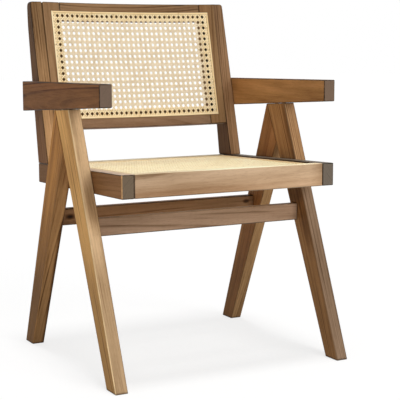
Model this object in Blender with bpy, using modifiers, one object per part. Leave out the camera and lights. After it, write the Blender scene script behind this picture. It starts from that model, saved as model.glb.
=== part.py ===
# Dining armchair in solid wood with a cane seat and a cane back.
#
# Two flat A-shaped side frames (armrest, front leg, rear leg) stand outside a seat frame.
# The seat frame carries two leaning posts, and a bowed cane panel is held between the posts.
# Metres, +Z up. The front faces -Y and left is -X. The origin is on the floor, under the middle.

import math

import bmesh
import bpy
from mathutils import Matrix, Vector

# Overall size
CHAIR_WIDTH = 0.562
CHAIR_DEPTH = 0.536
CHAIR_HEIGHT = 0.790

# Boards and fits
BOARD_THICKNESS = 0.028
EDGE_ROUND = 0.0018
FIT_GAP = 0.0003
CUT_OVERRUN = 0.004
WELD_DISTANCE = 0.00001

# Armrests, thinner towards the front, set in from the ends of the depth and above the seat
ARM_FRONT_INSET = 0.061
ARM_REAR_INSET = 0.040
ARM_RISE = 0.1775
ARM_FALL = 0.005
ARM_FRONT_HEIGHT = 0.047
ARM_REAR_HEIGHT = 0.0675

# Legs: the front leg runs up to the armrest and the rear leg is mitred against its back edge
FOOT_WIDTH = 0.045
FOOT_ROUND_REACH = 0.00067
FRONT_LEG_TOP_WIDTH = 0.0715
FRONT_LEG_TOP_INSET = 0.2405
REAR_FOOT_INSET = 0.0263
REAR_LEG_TIP = 0.004
CROTCH_DROP = 0.088

# Seat frame, a little lower at the back
SEAT_FRONT_INSET = 0.0219
SEAT_REAR_INSET = 0.0585
SEAT_FRONT_HEIGHT = 0.4365
SEAT_FALL = 0.015
RAIL_FRONT_DEPTH = 0.049
RAIL_REAR_DEPTH = 0.044
REAR_RAIL_DROP = 0.0015
RAIL_TENON_LENGTH = 0.015
RAIL_TENON_THICKNESS = 0.009
RAIL_TENON_SHOULDER = 0.009

# Cane seat: a loose frame that drops between the rails, a little lower than their tops
SEAT_DROP = 0.003
SEAT_FRAME_THICKNESS = 0.018
SEAT_MEMBER_WIDTH = 0.041
SEAT_CANE_MARGIN = 0.0185
SEAT_TENON_THICKNESS = 0.0065
SEAT_DISH = 0.004
SEAT_CANE_COLUMNS = 12
SEAT_CANE_ROWS = 10

# Corner blocks glued inside the seat frame
BLOCK_LEG = 0.040
BLOCK_RELIEF = 0.005
BLOCK_TIP = 0.009
BLOCK_HEIGHT = 0.021

# Stretchers between the two side frames
STRETCHER_HEIGHT = 0.0375
STRETCHER_THICKNESS = 0.022
FRONT_STRETCHER_DROP = 0.1055
REAR_STRETCHER_DROP = 0.1080
FRONT_STRETCHER_REACH_SHARE = 0.62
REAR_STRETCHER_REACH_SHARE = 0.473
STRETCHER_TENON_LENGTH = 0.016
STRETCHER_TENON_THICKNESS = 0.010
STRETCHER_TENON_TOP_SHOULDER = 0.0055
STRETCHER_TENON_LOW_SHOULDER = 0.0165

# Back posts, standing on the side rails and thinner towards the top
POST_BASE_DEPTH = 0.059
POST_TOP_DEPTH = 0.024
POST_TOP_ROUND = 0.012
POST_ROUND_STEPS = 5
POST_OUTER_ROUND = 0.006
POST_OUTER_STEPS = 3

# Back panel: a frame bowed backwards in its middle
PANEL_ABOVE_SEAT = 0.0793
PANEL_BOTTOM_INSET = 0.0975
PANEL_TOP_INSET = 0.0312
PANEL_THICKNESS = 0.020
PANEL_SIDE_WIDTH = 0.041
PANEL_TOP_WIDTH = 0.041
PANEL_BOTTOM_WIDTH = 0.0434
PANEL_BOW = 0.0095
PANEL_BOW_CELLS = 14
PANEL_EDGE_ROUND = 0.0015
PANEL_TENON_LENGTH = 0.020
PANEL_TENON_THICKNESS = 0.008
PANEL_TENON_SHOULDER = 0.007

# Cane of the back, held by reed in a groove round the window
CANE_SIDE_MARGIN = 0.0185
CANE_TOP_MARGIN = 0.0203
CANE_BOTTOM_MARGIN = 0.0224
CANE_THICKNESS = 0.0016
REED_WIDTH = 0.0045
REED_HEIGHT = 0.0048
REED_PROUD = 0.0008
REED_ROUND = 0.0010
CANE_BORDER = 0.008
CANE_COLUMNS = 22
CANE_ROWS = 13
CANE_GAP_SHARE = 0.52

# Dowels
DOWEL_RADIUS = 0.004
DOWEL_SIDES = 12
DOWEL_CHAMFER = 0.001
ARM_DOWEL_LENGTH = 0.040
ARM_DOWEL_SPACING = 0.034
ARM_DOWEL_EDGE = 0.0195
ARM_POST_DOWEL_LENGTH = 0.034
ARM_POST_DOWEL_SPACING = 0.028
LEG_DOWEL_LENGTH = 0.036
LEG_DOWEL_FROM_TIP = 0.058
POST_DOWEL_LENGTH = 0.038
POST_DOWEL_SPACING = 0.019
POST_DOWEL_EDGE = 0.0115
PANEL_DOWEL_RADIUS = 0.003
PANEL_DOWEL_LENGTH = 0.024
PANEL_DOWEL_EDGE = 0.035

# Bolts through the side rails into the legs
BOLT_RADIUS = 0.003
BOLT_LENGTH = 0.046
BOLT_HEAD_RADIUS = 0.0065
BOLT_HEAD_HEIGHT = 0.0036
BOLT_HEAD_ROUND = 0.0010
BOLT_SOCKET_RADIUS = 0.0024
BOLT_SOCKET_DEPTH = 0.0022
BOLT_SPACING = 0.035
BOLT_RISE = 0.0125
BOLT_STEPS = 12
SOCKET_SIDES = 6

# Places worked out from the sizes above
HALF_DEPTH = CHAIR_DEPTH / 2
BOARD_OUTER_X = CHAIR_WIDTH / 2
BOARD_CENTRE_X = BOARD_OUTER_X - BOARD_THICKNESS / 2
BOARD_INNER_X = BOARD_OUTER_X - BOARD_THICKNESS
RAIL_OUTER_X = BOARD_INNER_X - FIT_GAP
RAIL_CENTRE_X = RAIL_OUTER_X - BOARD_THICKNESS / 2
RAIL_INNER_X = RAIL_OUTER_X - BOARD_THICKNESS
SEAT_FRONT_Y = -HALF_DEPTH + SEAT_FRONT_INSET
SEAT_REAR_Y = HALF_DEPTH - SEAT_REAR_INSET
SEAT_REAR_HEIGHT = SEAT_FRONT_HEIGHT - SEAT_FALL
SEAT_LENGTH = SEAT_REAR_Y - SEAT_FRONT_Y
ARM_FRONT_Y = -HALF_DEPTH + ARM_FRONT_INSET
ARM_REAR_Y = HALF_DEPTH - ARM_REAR_INSET
ARM_TOP_FRONT = SEAT_FRONT_HEIGHT + ARM_RISE
ARM_TOP_REAR = ARM_TOP_FRONT - ARM_FALL
FRONT_FOOT_Y = -HALF_DEPTH - FOOT_ROUND_REACH
FRONT_LEG_TOP_REAR_Y = HALF_DEPTH - FRONT_LEG_TOP_INSET
REAR_LEG_FOOT_Y = HALF_DEPTH - REAR_FOOT_INSET
PANEL_BOTTOM_HEIGHT = SEAT_REAR_HEIGHT + PANEL_ABOVE_SEAT
PANEL_BOTTOM_Y = HALF_DEPTH - PANEL_BOTTOM_INSET
PANEL_TOP_Y = HALF_DEPTH - PANEL_TOP_INSET
SEAT_TILT = math.atan2(SEAT_FALL, SEAT_LENGTH)
PANEL_RISE = CHAIR_HEIGHT - PANEL_BOTTOM_HEIGHT
PANEL_RUN = PANEL_TOP_Y - PANEL_BOTTOM_Y
PANEL_LEAN = math.atan2(PANEL_RUN, PANEL_RISE)
PANEL_HEIGHT = math.hypot(PANEL_RUN, PANEL_RISE)
PANEL_HALF_WIDTH = RAIL_INNER_X - FIT_GAP
SEAT_FRAME_LEAN = SEAT_FRAME_THICKNESS * math.sin(SEAT_TILT)
SEAT_FRAME_FRONT_Y = SEAT_FRONT_Y + BOARD_THICKNESS + SEAT_FRAME_LEAN + FIT_GAP
SEAT_FRAME_REAR_Y = SEAT_REAR_Y - BOARD_THICKNESS - FIT_GAP
SEAT_FRAME_LENGTH = (SEAT_FRAME_REAR_Y - SEAT_FRAME_FRONT_Y) / math.cos(SEAT_TILT)
SIDES = (("left", -1), ("right", 1))

# Finish of each kind of piece: colour, roughness, metallic
FINISHES = {
    "arm_wood": ((0.165, 0.075, 0.034, 1.0), 0.42, 0.0),
    "leg_wood": ((0.400, 0.215, 0.105, 1.0), 0.45, 0.0),
    "rail_wood": ((0.360, 0.205, 0.110, 1.0), 0.45, 0.0),
    "back_wood": ((0.230, 0.118, 0.058, 1.0), 0.44, 0.0),
    "cane": ((0.780, 0.600, 0.340, 1.0), 0.50, 0.0),
    "reed": ((0.850, 0.690, 0.430, 1.0), 0.45, 0.0),
    "dowel_wood": ((0.620, 0.430, 0.240, 1.0), 0.60, 0.0),
    "steel": ((0.420, 0.420, 0.430, 1.0), 0.35, 1.0),
}


def clear_scene():
    for old in list(bpy.data.objects):
        bpy.data.objects.remove(old, do_unlink=True)


def make_collection(name, hidden):
    group = bpy.data.collections.new(name)
    bpy.context.scene.collection.children.link(group)
    group.hide_render = hidden
    return group


def make_material(name):
    colour, roughness, metallic = FINISHES[name]
    material = bpy.data.materials.new(name)
    material.use_nodes = True
    shader = material.node_tree.nodes["Principled BSDF"]
    shader.inputs["Base Color"].default_value = colour
    shader.inputs["Roughness"].default_value = roughness
    shader.inputs["Metallic"].default_value = metallic
    material.diffuse_color = colour
    return material


def make_empty(name, place, tilt, parent):
    empty = bpy.data.objects.new(name, None)
    empty.location = place
    empty.rotation_euler = (tilt, 0.0, 0.0)
    empty.parent = parent
    chair.objects.link(empty)
    return empty


def add_object(name, mesh, place, parent, finish):
    thing = bpy.data.objects.new(name, mesh)
    thing.location = place
    thing.parent = parent
    if finish is None:
        cutters.objects.link(thing)
        thing.hide_render = True
        thing.display_type = "WIRE"
    else:
        chair.objects.link(thing)
        mesh.materials.append(materials[finish])
    return thing


def box(name, low, high, parent, finish=None):
    # A box between two corners, with its origin at its centre
    low = Vector(low)
    high = Vector(high)
    shape = bmesh.new()
    bmesh.ops.create_cube(shape, size=1.0, matrix=Matrix.Diagonal((high - low).to_4d()))
    mesh = bpy.data.meshes.new(name)
    shape.to_mesh(mesh)
    shape.free()
    return add_object(name, mesh, (low + high) / 2, parent, finish)


def rod(name, centre, axis, length, radius, parent, finish=None):
    # A straight round rod along an axis, centred on its middle
    shape = bmesh.new()
    bmesh.ops.create_cone(shape, cap_ends=True, segments=DOWEL_SIDES, radius1=radius,
                          radius2=radius, depth=length)
    mesh = bpy.data.meshes.new(name)
    shape.to_mesh(mesh)
    shape.free()
    thing = add_object(name, mesh, centre, parent, finish)
    thing.rotation_euler = Vector(axis).to_track_quat("Z", "Y").to_euler()
    return thing


def mesh_from_outline(name, curve):
    drawn = bpy.data.objects.new(name + "_outline", curve)
    chair.objects.link(drawn)
    bpy.context.view_layer.update()
    graph = bpy.context.evaluated_depsgraph_get()
    mesh = bpy.data.meshes.new_from_object(drawn.evaluated_get(graph))
    mesh.name = name
    bpy.data.objects.remove(drawn, do_unlink=True)
    weld(mesh)
    return mesh


def board(name, outline, thickness, centre_x, parent, finish):
    # A flat board cut to an outline of (y, z) points, its thickness across the chair
    curve = bpy.data.curves.new(name, "CURVE")
    curve.dimensions = "2D"
    curve.fill_mode = "BOTH"
    curve.extrude = thickness / 2
    line = curve.splines.new("POLY")
    line.points.add(len(outline) - 1)
    for point, (y, z) in zip(line.points, outline):
        point.co = (y, z, 0.0, 1.0)
    line.use_cyclic_u = True
    thing = add_object(name, mesh_from_outline(name, curve), (centre_x, 0.0, 0.0), parent, finish)
    thing.rotation_euler = (math.pi / 2, 0.0, math.pi / 2)
    return thing


def merge_flat(shape):
    bmesh.ops.dissolve_limit(shape, angle_limit=math.radians(0.1), verts=shape.verts[:], edges=shape.edges[:])


def weld(mesh):
    # Join the loose caps of a drawn outline and merge its flat triangles
    shape = bmesh.new()
    shape.from_mesh(mesh)
    bmesh.ops.remove_doubles(shape, verts=shape.verts[:], dist=WELD_DISTANCE)
    merge_flat(shape)
    bmesh.ops.recalc_face_normals(shape, faces=shape.faces[:])
    shape.to_mesh(mesh)
    shape.free()


def ease_edges(thing, width, segments=2):
    bevel = thing.modifiers.new("eased_edges", "BEVEL")
    bevel.width = width
    bevel.segments = segments
    bevel.limit_method = "ANGLE"
    bevel.angle_limit = math.radians(40)
    bevel.use_clamp_overlap = True


def combine(thing, other, operation):
    step = thing.modifiers.new(other.name, "BOOLEAN")
    step.operation = operation
    step.solver = "EXACT"
    step.object = other


def cut(thing, cutter):
    combine(thing, cutter, "DIFFERENCE")


def apply_modifiers(thing):
    bpy.context.view_layer.update()
    graph = bpy.context.evaluated_depsgraph_get()
    finished = bpy.data.meshes.new_from_object(thing.evaluated_get(graph))
    finished.name = thing.name
    rough = thing.data
    thing.modifiers.clear()
    thing.data = finished
    bpy.data.meshes.remove(rough)


def shade_round(thing):
    thing.data.shade_smooth()
    thing.data.set_sharp_from_angle(angle=math.radians(35))


def line_z(y, start, end):
    # Height at y on the line through two (y, z) points
    share = (y - start[0]) / (end[0] - start[0])
    return start[1] + share * (end[1] - start[1])


def line_y(z, start, end):
    # Place at height z on the line through two (y, z) points
    share = (z - start[1]) / (end[1] - start[1])
    return start[0] + share * (end[0] - start[0])


def arm_underside(y):
    front = (ARM_FRONT_Y, ARM_TOP_FRONT - ARM_FRONT_HEIGHT)
    rear = (ARM_REAR_Y, ARM_TOP_REAR - ARM_REAR_HEIGHT)
    return line_z(y, front, rear)


def seat_top(y):
    return line_z(y, (SEAT_FRONT_Y, SEAT_FRONT_HEIGHT), (SEAT_REAR_Y, SEAT_REAR_HEIGHT))


def rail_bottom(y):
    front = (SEAT_FRONT_Y, SEAT_FRONT_HEIGHT - RAIL_FRONT_DEPTH)
    rear = (SEAT_REAR_Y, SEAT_REAR_HEIGHT - RAIL_REAR_DEPTH)
    return line_z(y, front, rear)


def front_leg_edges():
    # Front edge and rear edge of the front leg, each as two (y, z) points
    top_front_y = FRONT_LEG_TOP_REAR_Y - FRONT_LEG_TOP_WIDTH
    front = ((FRONT_FOOT_Y, 0.0), (top_front_y, arm_underside(top_front_y) - FIT_GAP))
    top_rear = (FRONT_LEG_TOP_REAR_Y, arm_underside(FRONT_LEG_TOP_REAR_Y) - FIT_GAP)
    rear = ((FRONT_FOOT_Y + FOOT_WIDTH, 0.0), top_rear)
    return front, rear


def leg_joint():
    # Mitre of the rear leg: its lower and upper (y, z) points, clear of the front leg
    foot, top = front_leg_edges()[1]
    crotch_height = top[1] - CROTCH_DROP
    run = top[0] - foot[0]
    rise = top[1] - foot[1]
    aside = FIT_GAP * math.hypot(run, rise) / rise
    low = (line_y(crotch_height, foot, top) + aside, crotch_height)
    high = (top[0] + aside, top[1])
    return low, high


def rear_leg_edges():
    # Front edge and rear edge of the rear leg, each as two (y, z) points
    low, high = leg_joint()
    tip_y = high[0] + REAR_LEG_TIP
    front = ((REAR_LEG_FOOT_Y - FOOT_WIDTH, 0.0), low)
    rear = ((REAR_LEG_FOOT_Y, 0.0), (tip_y, arm_underside(tip_y) - FIT_GAP))
    return front, rear


def post_round_centre():
    return (HALF_DEPTH - POST_TOP_ROUND, CHAIR_HEIGHT - POST_TOP_ROUND)


def post_rear_tangent():
    # Where the post's straight rear edge meets the round at its top
    base = (SEAT_REAR_Y, seat_top(SEAT_REAR_Y) + FIT_GAP)
    centre = post_round_centre()
    run = centre[0] - base[0]
    rise = centre[1] - base[1]
    reach = math.hypot(run, rise)
    turn = math.atan2(run, rise) - math.asin(POST_TOP_ROUND / reach)
    return -math.pi / 2 + (math.pi / 2 - turn)


def post_edges():
    # Front edge and rear edge of a back post, each as two (y, z) points
    base_front_y = SEAT_REAR_Y - POST_BASE_DEPTH
    front = ((base_front_y, seat_top(base_front_y) + FIT_GAP), (HALF_DEPTH - POST_TOP_DEPTH, CHAIR_HEIGHT))
    centre = post_round_centre()
    angle = post_rear_tangent()
    tangent = (centre[0] + POST_TOP_ROUND * math.cos(angle), centre[1] + POST_TOP_ROUND * math.sin(angle))
    rear = ((SEAT_REAR_Y, seat_top(SEAT_REAR_Y) + FIT_GAP), tangent)
    return front, rear


def post_outline():
    front, rear = post_edges()
    centre = post_round_centre()
    start = post_rear_tangent()
    outline = [front[0], rear[0], rear[1]]
    for step in range(POST_ROUND_STEPS + 1):
        angle = math.pi / 2 * step / POST_ROUND_STEPS
        if angle > start + math.radians(1):
            point = (centre[0] + POST_TOP_ROUND * math.cos(angle), centre[1] + POST_TOP_ROUND * math.sin(angle))
            outline.append(point)
    outline.append(front[1])
    return outline


def panel_front_y(z):
    return line_y(z, (PANEL_BOTTOM_Y, PANEL_BOTTOM_HEIGHT), (PANEL_TOP_Y, CHAIR_HEIGHT))


def panel_rear_y(z):
    return panel_front_y(z) + PANEL_THICKNESS / math.cos(PANEL_LEAN)


def bow_at(x):
    # How far the panel is bowed backwards at x, straight between its stations
    cell = 2 * PANEL_HALF_WIDTH / PANEL_BOW_CELLS
    place = (x + PANEL_HALF_WIDTH) / cell
    index = min(max(math.floor(place), 0), PANEL_BOW_CELLS - 1)
    ends = []
    for station in (index, index + 1):
        across_share = 2 * station / PANEL_BOW_CELLS - 1
        ends.append(PANEL_BOW * (1 - across_share ** 2))
    return ends[0] + (place - index) * (ends[1] - ends[0])


def bow_piece(thing, split=True):
    # Bend a flat piece of the panel to the bow, with an edge line at every station
    apply_modifiers(thing)
    shape = bmesh.new()
    shape.from_mesh(thing.data)
    offset = thing.location.x
    if split:
        bmesh.ops.triangulate(shape, faces=shape.faces[:])
        for station in range(1, PANEL_BOW_CELLS):
            x = PANEL_HALF_WIDTH * (2 * station / PANEL_BOW_CELLS - 1) - offset
            everything = shape.verts[:] + shape.edges[:] + shape.faces[:]
            bmesh.ops.bisect_plane(shape, geom=everything, dist=WELD_DISTANCE, plane_co=(x, 0.0, 0.0),
                                   plane_no=(1.0, 0.0, 0.0))
    for corner in shape.verts:
        corner.co.y += bow_at(corner.co.x + offset)
    merge_flat(shape)
    bmesh.ops.triangulate(shape, faces=shape.faces[:])
    shape.to_mesh(thing.data)
    shape.free()


def join_with_dowel(name, centre, axis, length, radius, pieces):
    # A dowel, and its hole in both pieces that it joins
    pin = rod(name, centre, axis, length, radius, frame, "dowel_wood")
    chamfer = pin.modifiers.new("chamfered_ends", "BEVEL")
    chamfer.width = DOWEL_CHAMFER
    chamfer.segments = 1
    chamfer.limit_method = "ANGLE"
    chamfer.angle_limit = math.radians(60)
    shade_round(pin)
    hole = rod(name + "_hole", centre, axis, length + 2 * FIT_GAP, radius + FIT_GAP, frame)
    for piece in pieces:
        cut(piece, hole)
    return pin


def make_armrest(side_name, side):
    outline = [
        (ARM_FRONT_Y, ARM_TOP_FRONT - ARM_FRONT_HEIGHT),
        (ARM_REAR_Y, ARM_TOP_REAR - ARM_REAR_HEIGHT),
        (ARM_REAR_Y, ARM_TOP_REAR),
        (ARM_FRONT_Y, ARM_TOP_FRONT),
    ]
    arm = board(side_name + "_armrest", outline, BOARD_THICKNESS, side * BOARD_CENTRE_X, frame, "arm_wood")
    ease_edges(arm, EDGE_ROUND)
    return arm


def make_front_leg(side_name, side):
    front, rear = front_leg_edges()
    outline = [front[0], rear[0], rear[1], front[1]]
    leg = board(side_name + "_front_leg", outline, BOARD_THICKNESS, side * BOARD_CENTRE_X, frame, "leg_wood")
    ease_edges(leg, EDGE_ROUND)
    return leg


def make_rear_leg(side_name, side):
    front, rear = rear_leg_edges()
    outline = [front[0], rear[0], rear[1], leg_joint()[1], front[1]]
    leg = board(side_name + "_rear_leg", outline, BOARD_THICKNESS, side * BOARD_CENTRE_X, frame, "leg_wood")
    ease_edges(leg, EDGE_ROUND)
    return leg


def make_side_rail(side_name, side):
    outline = [
        (SEAT_FRONT_Y, rail_bottom(SEAT_FRONT_Y)),
        (SEAT_REAR_Y, rail_bottom(SEAT_REAR_Y)),
        (SEAT_REAR_Y, seat_top(SEAT_REAR_Y)),
        (SEAT_FRONT_Y, seat_top(SEAT_FRONT_Y)),
    ]
    rail = board(side_name + "_seat_rail", outline, BOARD_THICKNESS, side * RAIL_CENTRE_X, frame, "rail_wood")
    ease_edges(rail, EDGE_ROUND)
    return rail


def make_cross_rail(name, front_y, drop, side_rails):
    # A seat rail between the side rails, with a tenon at each end and its mortises
    rear_y = front_y + BOARD_THICKNESS
    outline = [
        (front_y, rail_bottom(front_y)),
        (rear_y, rail_bottom(rear_y)),
        (rear_y, seat_top(rear_y) - drop),
        (front_y, seat_top(front_y) - drop),
    ]
    width = 2 * (RAIL_INNER_X - FIT_GAP)
    rail = board(name, outline, width, 0.0, frame, "rail_wood")
    ease_edges(rail, EDGE_ROUND)
    middle_y = (front_y + rear_y) / 2
    low = Vector((-RAIL_INNER_X - RAIL_TENON_LENGTH, middle_y - RAIL_TENON_THICKNESS / 2,
                  rail_bottom(middle_y) + RAIL_TENON_SHOULDER))
    high = Vector((RAIL_INNER_X + RAIL_TENON_LENGTH, middle_y + RAIL_TENON_THICKNESS / 2,
                   seat_top(middle_y) - RAIL_TENON_SHOULDER))
    combine(rail, box(name + "_tenon", low, high, frame), "UNION")
    room = Vector((FIT_GAP, FIT_GAP, FIT_GAP))
    mortise = box(name + "_mortise", low - room, high + room, frame)
    for side_rail in side_rails:
        cut(side_rail, mortise)
    return rail


def stretcher_front_y(edges, top_z, reach_share):
    # Front face of a stretcher, a share of the way across the leg at the stretcher's middle
    middle_z = top_z - STRETCHER_HEIGHT / 2
    front = line_y(middle_z, *edges[0])
    rear = line_y(middle_z, *edges[1])
    return front + (rear - front) * reach_share


def make_stretcher(name, front_y, top_z, legs):
    # A stretcher between two legs, with a tenon at each end and its mortises
    reach = BOARD_INNER_X - FIT_GAP
    low = Vector((-reach, front_y, top_z - STRETCHER_HEIGHT))
    high = Vector((reach, front_y + STRETCHER_THICKNESS, top_z))
    bar = box(name, low, high, frame, "rail_wood")
    ease_edges(bar, EDGE_ROUND)
    spare_y = (STRETCHER_THICKNESS - STRETCHER_TENON_THICKNESS) / 2
    low += Vector((-STRETCHER_TENON_LENGTH, spare_y, STRETCHER_TENON_LOW_SHOULDER))
    high -= Vector((-STRETCHER_TENON_LENGTH, spare_y, STRETCHER_TENON_TOP_SHOULDER))
    combine(bar, box(name + "_tenon", low, high, frame), "UNION")
    room = Vector((FIT_GAP, FIT_GAP, FIT_GAP))
    mortise = box(name + "_mortise", low - room, high + room, frame)
    for leg in legs:
        cut(leg, mortise)
    return bar


def round_post_top(post, side):
    # Round the outer arris of the top, down to where the round at the rear begins
    tangent_height = post_edges()[1][1][1]
    shape = bmesh.new()
    shape.from_mesh(post.data)
    arrises = []
    for edge in shape.edges:
        at_top = all(corner.co.y > tangent_height - WELD_DISTANCE for corner in edge.verts)
        outside = all(corner.co.z * side > BOARD_THICKNESS / 4 for corner in edge.verts)
        if at_top and outside:
            arrises.append(edge)
    bmesh.ops.bevel(shape, geom=arrises, offset=POST_OUTER_ROUND, segments=POST_OUTER_STEPS, profile=0.5,
                    affect="EDGES")
    shape.to_mesh(post.data)
    shape.free()


def make_post(side_name, side):
    post = board(side_name + "_back_post", post_outline(), BOARD_THICKNESS, side * RAIL_CENTRE_X, frame,
                 "back_wood")
    round_post_top(post, side)
    ease_edges(post, EDGE_ROUND)
    return post


def make_corner_block(end_name, side_name, side, corner_y, inward):
    # A three-cornered block, its top cut to the underside of the seat's loose frame
    outline = [
        (BLOCK_RELIEF, 0.0),
        (BLOCK_LEG, 0.0),
        (BLOCK_LEG, BLOCK_TIP),
        (BLOCK_TIP, BLOCK_LEG),
        (0.0, BLOCK_LEG),
        (0.0, BLOCK_RELIEF),
    ]
    name = end_name + "_" + side_name + "_corner_block"
    block = board(name, outline, BLOCK_HEIGHT, 0.0, frame, "dowel_wood")
    top = seat_top(corner_y) - SEAT_DROP - SEAT_FRAME_THICKNESS
    block.location = (side * (RAIL_INNER_X - FIT_GAP), corner_y, top - BLOCK_HEIGHT / 2 + CUT_OVERRUN)
    quarter_turns = {(-1, 1): 0, (1, 1): 1, (1, -1): 2, (-1, -1): 3}[(side, inward)]
    block.rotation_euler = (0.0, 0.0, quarter_turns * math.pi / 2)
    cut(block, seat_clearance)
    return block


def make_seat_clearance(kind):
    # Everything above the underside of the seat's loose frame
    low = (-kind["half_width"] - CUT_OVERRUN, -BLOCK_HEIGHT, -BLOCK_LEG)
    high = (kind["half_width"] + CUT_OVERRUN, kind["thickness"] + FIT_GAP, kind["height"] + BLOCK_LEG)
    return box("seat_clearance", low, high, kind["plane"])


def flat_panel_area(kind):
    # Low and high corner (x, z) of a cane panel's window, in the panel's own plane
    reach = kind["half_width"] - kind["side_width"]
    return (-reach, kind["low_width"]), (reach, kind["height"] - kind["high_width"])


def cane_field(kind):
    # Low and high corner (x, z) of the recess that holds the reed and the cane
    reach = kind["half_width"] - kind["side_margin"]
    return (-reach, kind["low_margin"]), (reach, kind["height"] - kind["high_margin"])


def ring(name, low, high, width, front, rear, parent, finish=None):
    # A flat rectangular ring between two depths, with square corners
    curve = bpy.data.curves.new(name, "CURVE")
    curve.dimensions = "2D"
    curve.fill_mode = "BOTH"
    curve.extrude = (rear - front) / 2
    for inset in (0.0, width):
        line = curve.splines.new("POLY")
        line.points.add(3)
        line.points[0].co = (low[0] + inset, low[1] + inset, 0.0, 1.0)
        line.points[1].co = (high[0] - inset, low[1] + inset, 0.0, 1.0)
        line.points[2].co = (high[0] - inset, high[1] - inset, 0.0, 1.0)
        line.points[3].co = (low[0] + inset, high[1] - inset, 0.0, 1.0)
        line.use_cyclic_u = True
    mesh = mesh_from_outline(name, curve)
    mesh.transform(Matrix.Rotation(math.pi / 2, 4, "X"))
    return add_object(name, mesh, (0.0, (front + rear) / 2, 0.0), parent, finish)


def make_cane_frame(kind):
    # Two stiles and two rails round a window, tenoned together and cut for the cane
    window_low, window_high = flat_panel_area(kind)
    half = kind["half_width"]
    depth = kind["thickness"]
    members = {}
    sides = {
        "left": (-half, window_low[0]),
        "right": (window_high[0], half),
    }
    for place, (start, end) in sides.items():
        name = kind["name"] + "_" + place + "_stile"
        high = (end, depth, kind["height"])
        members[place] = box(name, (start, 0.0, 0.0), high, kind["plane"], kind["finish"])
        ease_edges(members[place], PANEL_EDGE_ROUND)
    rails = {
        kind["low_name"]: (0.0, window_low[1]),
        kind["high_name"]: (window_high[1], kind["height"]),
    }
    spare_y = (depth - kind["tenon_thickness"]) / 2
    room = Vector((FIT_GAP, FIT_GAP, FIT_GAP))
    for place, (start, end) in rails.items():
        name = kind["name"] + "_" + place + "_rail"
        low = Vector((window_low[0] + FIT_GAP, 0.0, start))
        high = Vector((window_high[0] - FIT_GAP, depth, end))
        members[place] = box(name, low, high, kind["plane"], kind["finish"])
        ease_edges(members[place], PANEL_EDGE_ROUND)
        low = Vector((window_low[0] - PANEL_TENON_LENGTH, spare_y, start + PANEL_TENON_SHOULDER))
        high = Vector((window_high[0] + PANEL_TENON_LENGTH, depth - spare_y, end - PANEL_TENON_SHOULDER))
        combine(members[place], box(name + "_tenon", low, high, kind["plane"]), "UNION")
        mortise = box(name + "_mortise", low - room, high + room, kind["plane"])
        for stile in sides:
            cut(members[stile], mortise)
    cut_cane_recess(kind, members)
    return members


def cut_cane_recess(kind, members):
    # A shallow recess for the sheet, and a deeper groove round it for the reed
    low, high = cane_field(kind)
    groove = REED_WIDTH + 2 * FIT_GAP
    floor = CANE_THICKNESS + FIT_GAP
    name = kind["name"]
    start = (low[0] + groove / 2, -CUT_OVERRUN, low[1] + groove / 2)
    end = (high[0] - groove / 2, floor, high[1] - groove / 2)
    recess = box(name + "_recess", start, end, kind["plane"])
    bottom = REED_HEIGHT - REED_PROUD + FIT_GAP
    channel = ring(name + "_groove", low, high, groove, -2 * CUT_OVERRUN, bottom, kind["plane"])
    for member in members.values():
        cut(member, recess)
        cut(member, channel)


def make_reed(kind):
    low, high = cane_field(kind)
    low = (low[0] + FIT_GAP, low[1] + FIT_GAP)
    high = (high[0] - FIT_GAP, high[1] - FIT_GAP)
    reed = ring(kind["reed_name"], low, high, REED_WIDTH, -REED_PROUD, REED_HEIGHT - REED_PROUD,
                kind["plane"], "reed")
    shape = bmesh.new()
    shape.from_mesh(reed.data)
    front = min(corner.co.y for corner in shape.verts)
    arrises = []
    for edge in shape.edges:
        at_front = all(corner.co.y < front + WELD_DISTANCE for corner in edge.verts)
        if at_front and edge.calc_face_angle(0.0) > math.radians(40):
            arrises.append(edge)
    bmesh.ops.bevel(shape, geom=arrises, offset=REED_ROUND, segments=1, affect="EDGES")
    shape.to_mesh(reed.data)
    shape.free()
    return reed


def make_sheet(name, columns, rows, kind, dish_at):
    # A thin sheet on a grid of lines, with every second cell both ways left out for a net
    shape = bmesh.new()
    bmesh.ops.create_grid(shape, x_segments=len(columns) - 1, y_segments=len(rows) - 1, size=1.0)
    gaps = []
    for face in shape.faces:
        centre = face.calc_center_median()
        column = math.floor((centre.x + 1) / 2 * (len(columns) - 1))
        row = math.floor((centre.y + 1) / 2 * (len(rows) - 1))
        if column % 2 == 1 and row % 2 == 1:
            gaps.append(face)
    bmesh.ops.delete(shape, geom=gaps, context="FACES")
    for corner in shape.verts:
        column = round((corner.co.x + 1) / 2 * (len(columns) - 1))
        row = round((corner.co.y + 1) / 2 * (len(rows) - 1))
        x = columns[column]
        z = rows[row]
        corner.co = (x, dish_at(x, z), z)
    mesh = bpy.data.meshes.new(name)
    shape.to_mesh(mesh)
    shape.free()
    sheet = add_object(name, mesh, (0.0, 0.0, 0.0), kind["plane"], "cane")
    solid = sheet.modifiers.new("sheet_thickness", "SOLIDIFY")
    solid.thickness = CANE_THICKNESS
    solid.offset = -1.0
    return sheet


def sheet_corners(kind):
    low, high = cane_field(kind)
    margin = REED_WIDTH + 3 * FIT_GAP
    return (low[0] + margin, low[1] + margin), (high[0] - margin, high[1] - margin)


def bar_lines(start, end, border, gaps):
    # Edges of the bars and gaps of the net along one direction, with a wide bar at each end
    first = start + border
    last = end - border
    bar_share = 1 - CANE_GAP_SHARE
    pitch = (last - first) / (gaps - bar_share)
    lines = [start]
    for index in range(gaps):
        lines.append(first + index * pitch)
        lines.append(first + index * pitch + pitch * CANE_GAP_SHARE)
    lines.append(end)
    return lines


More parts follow.
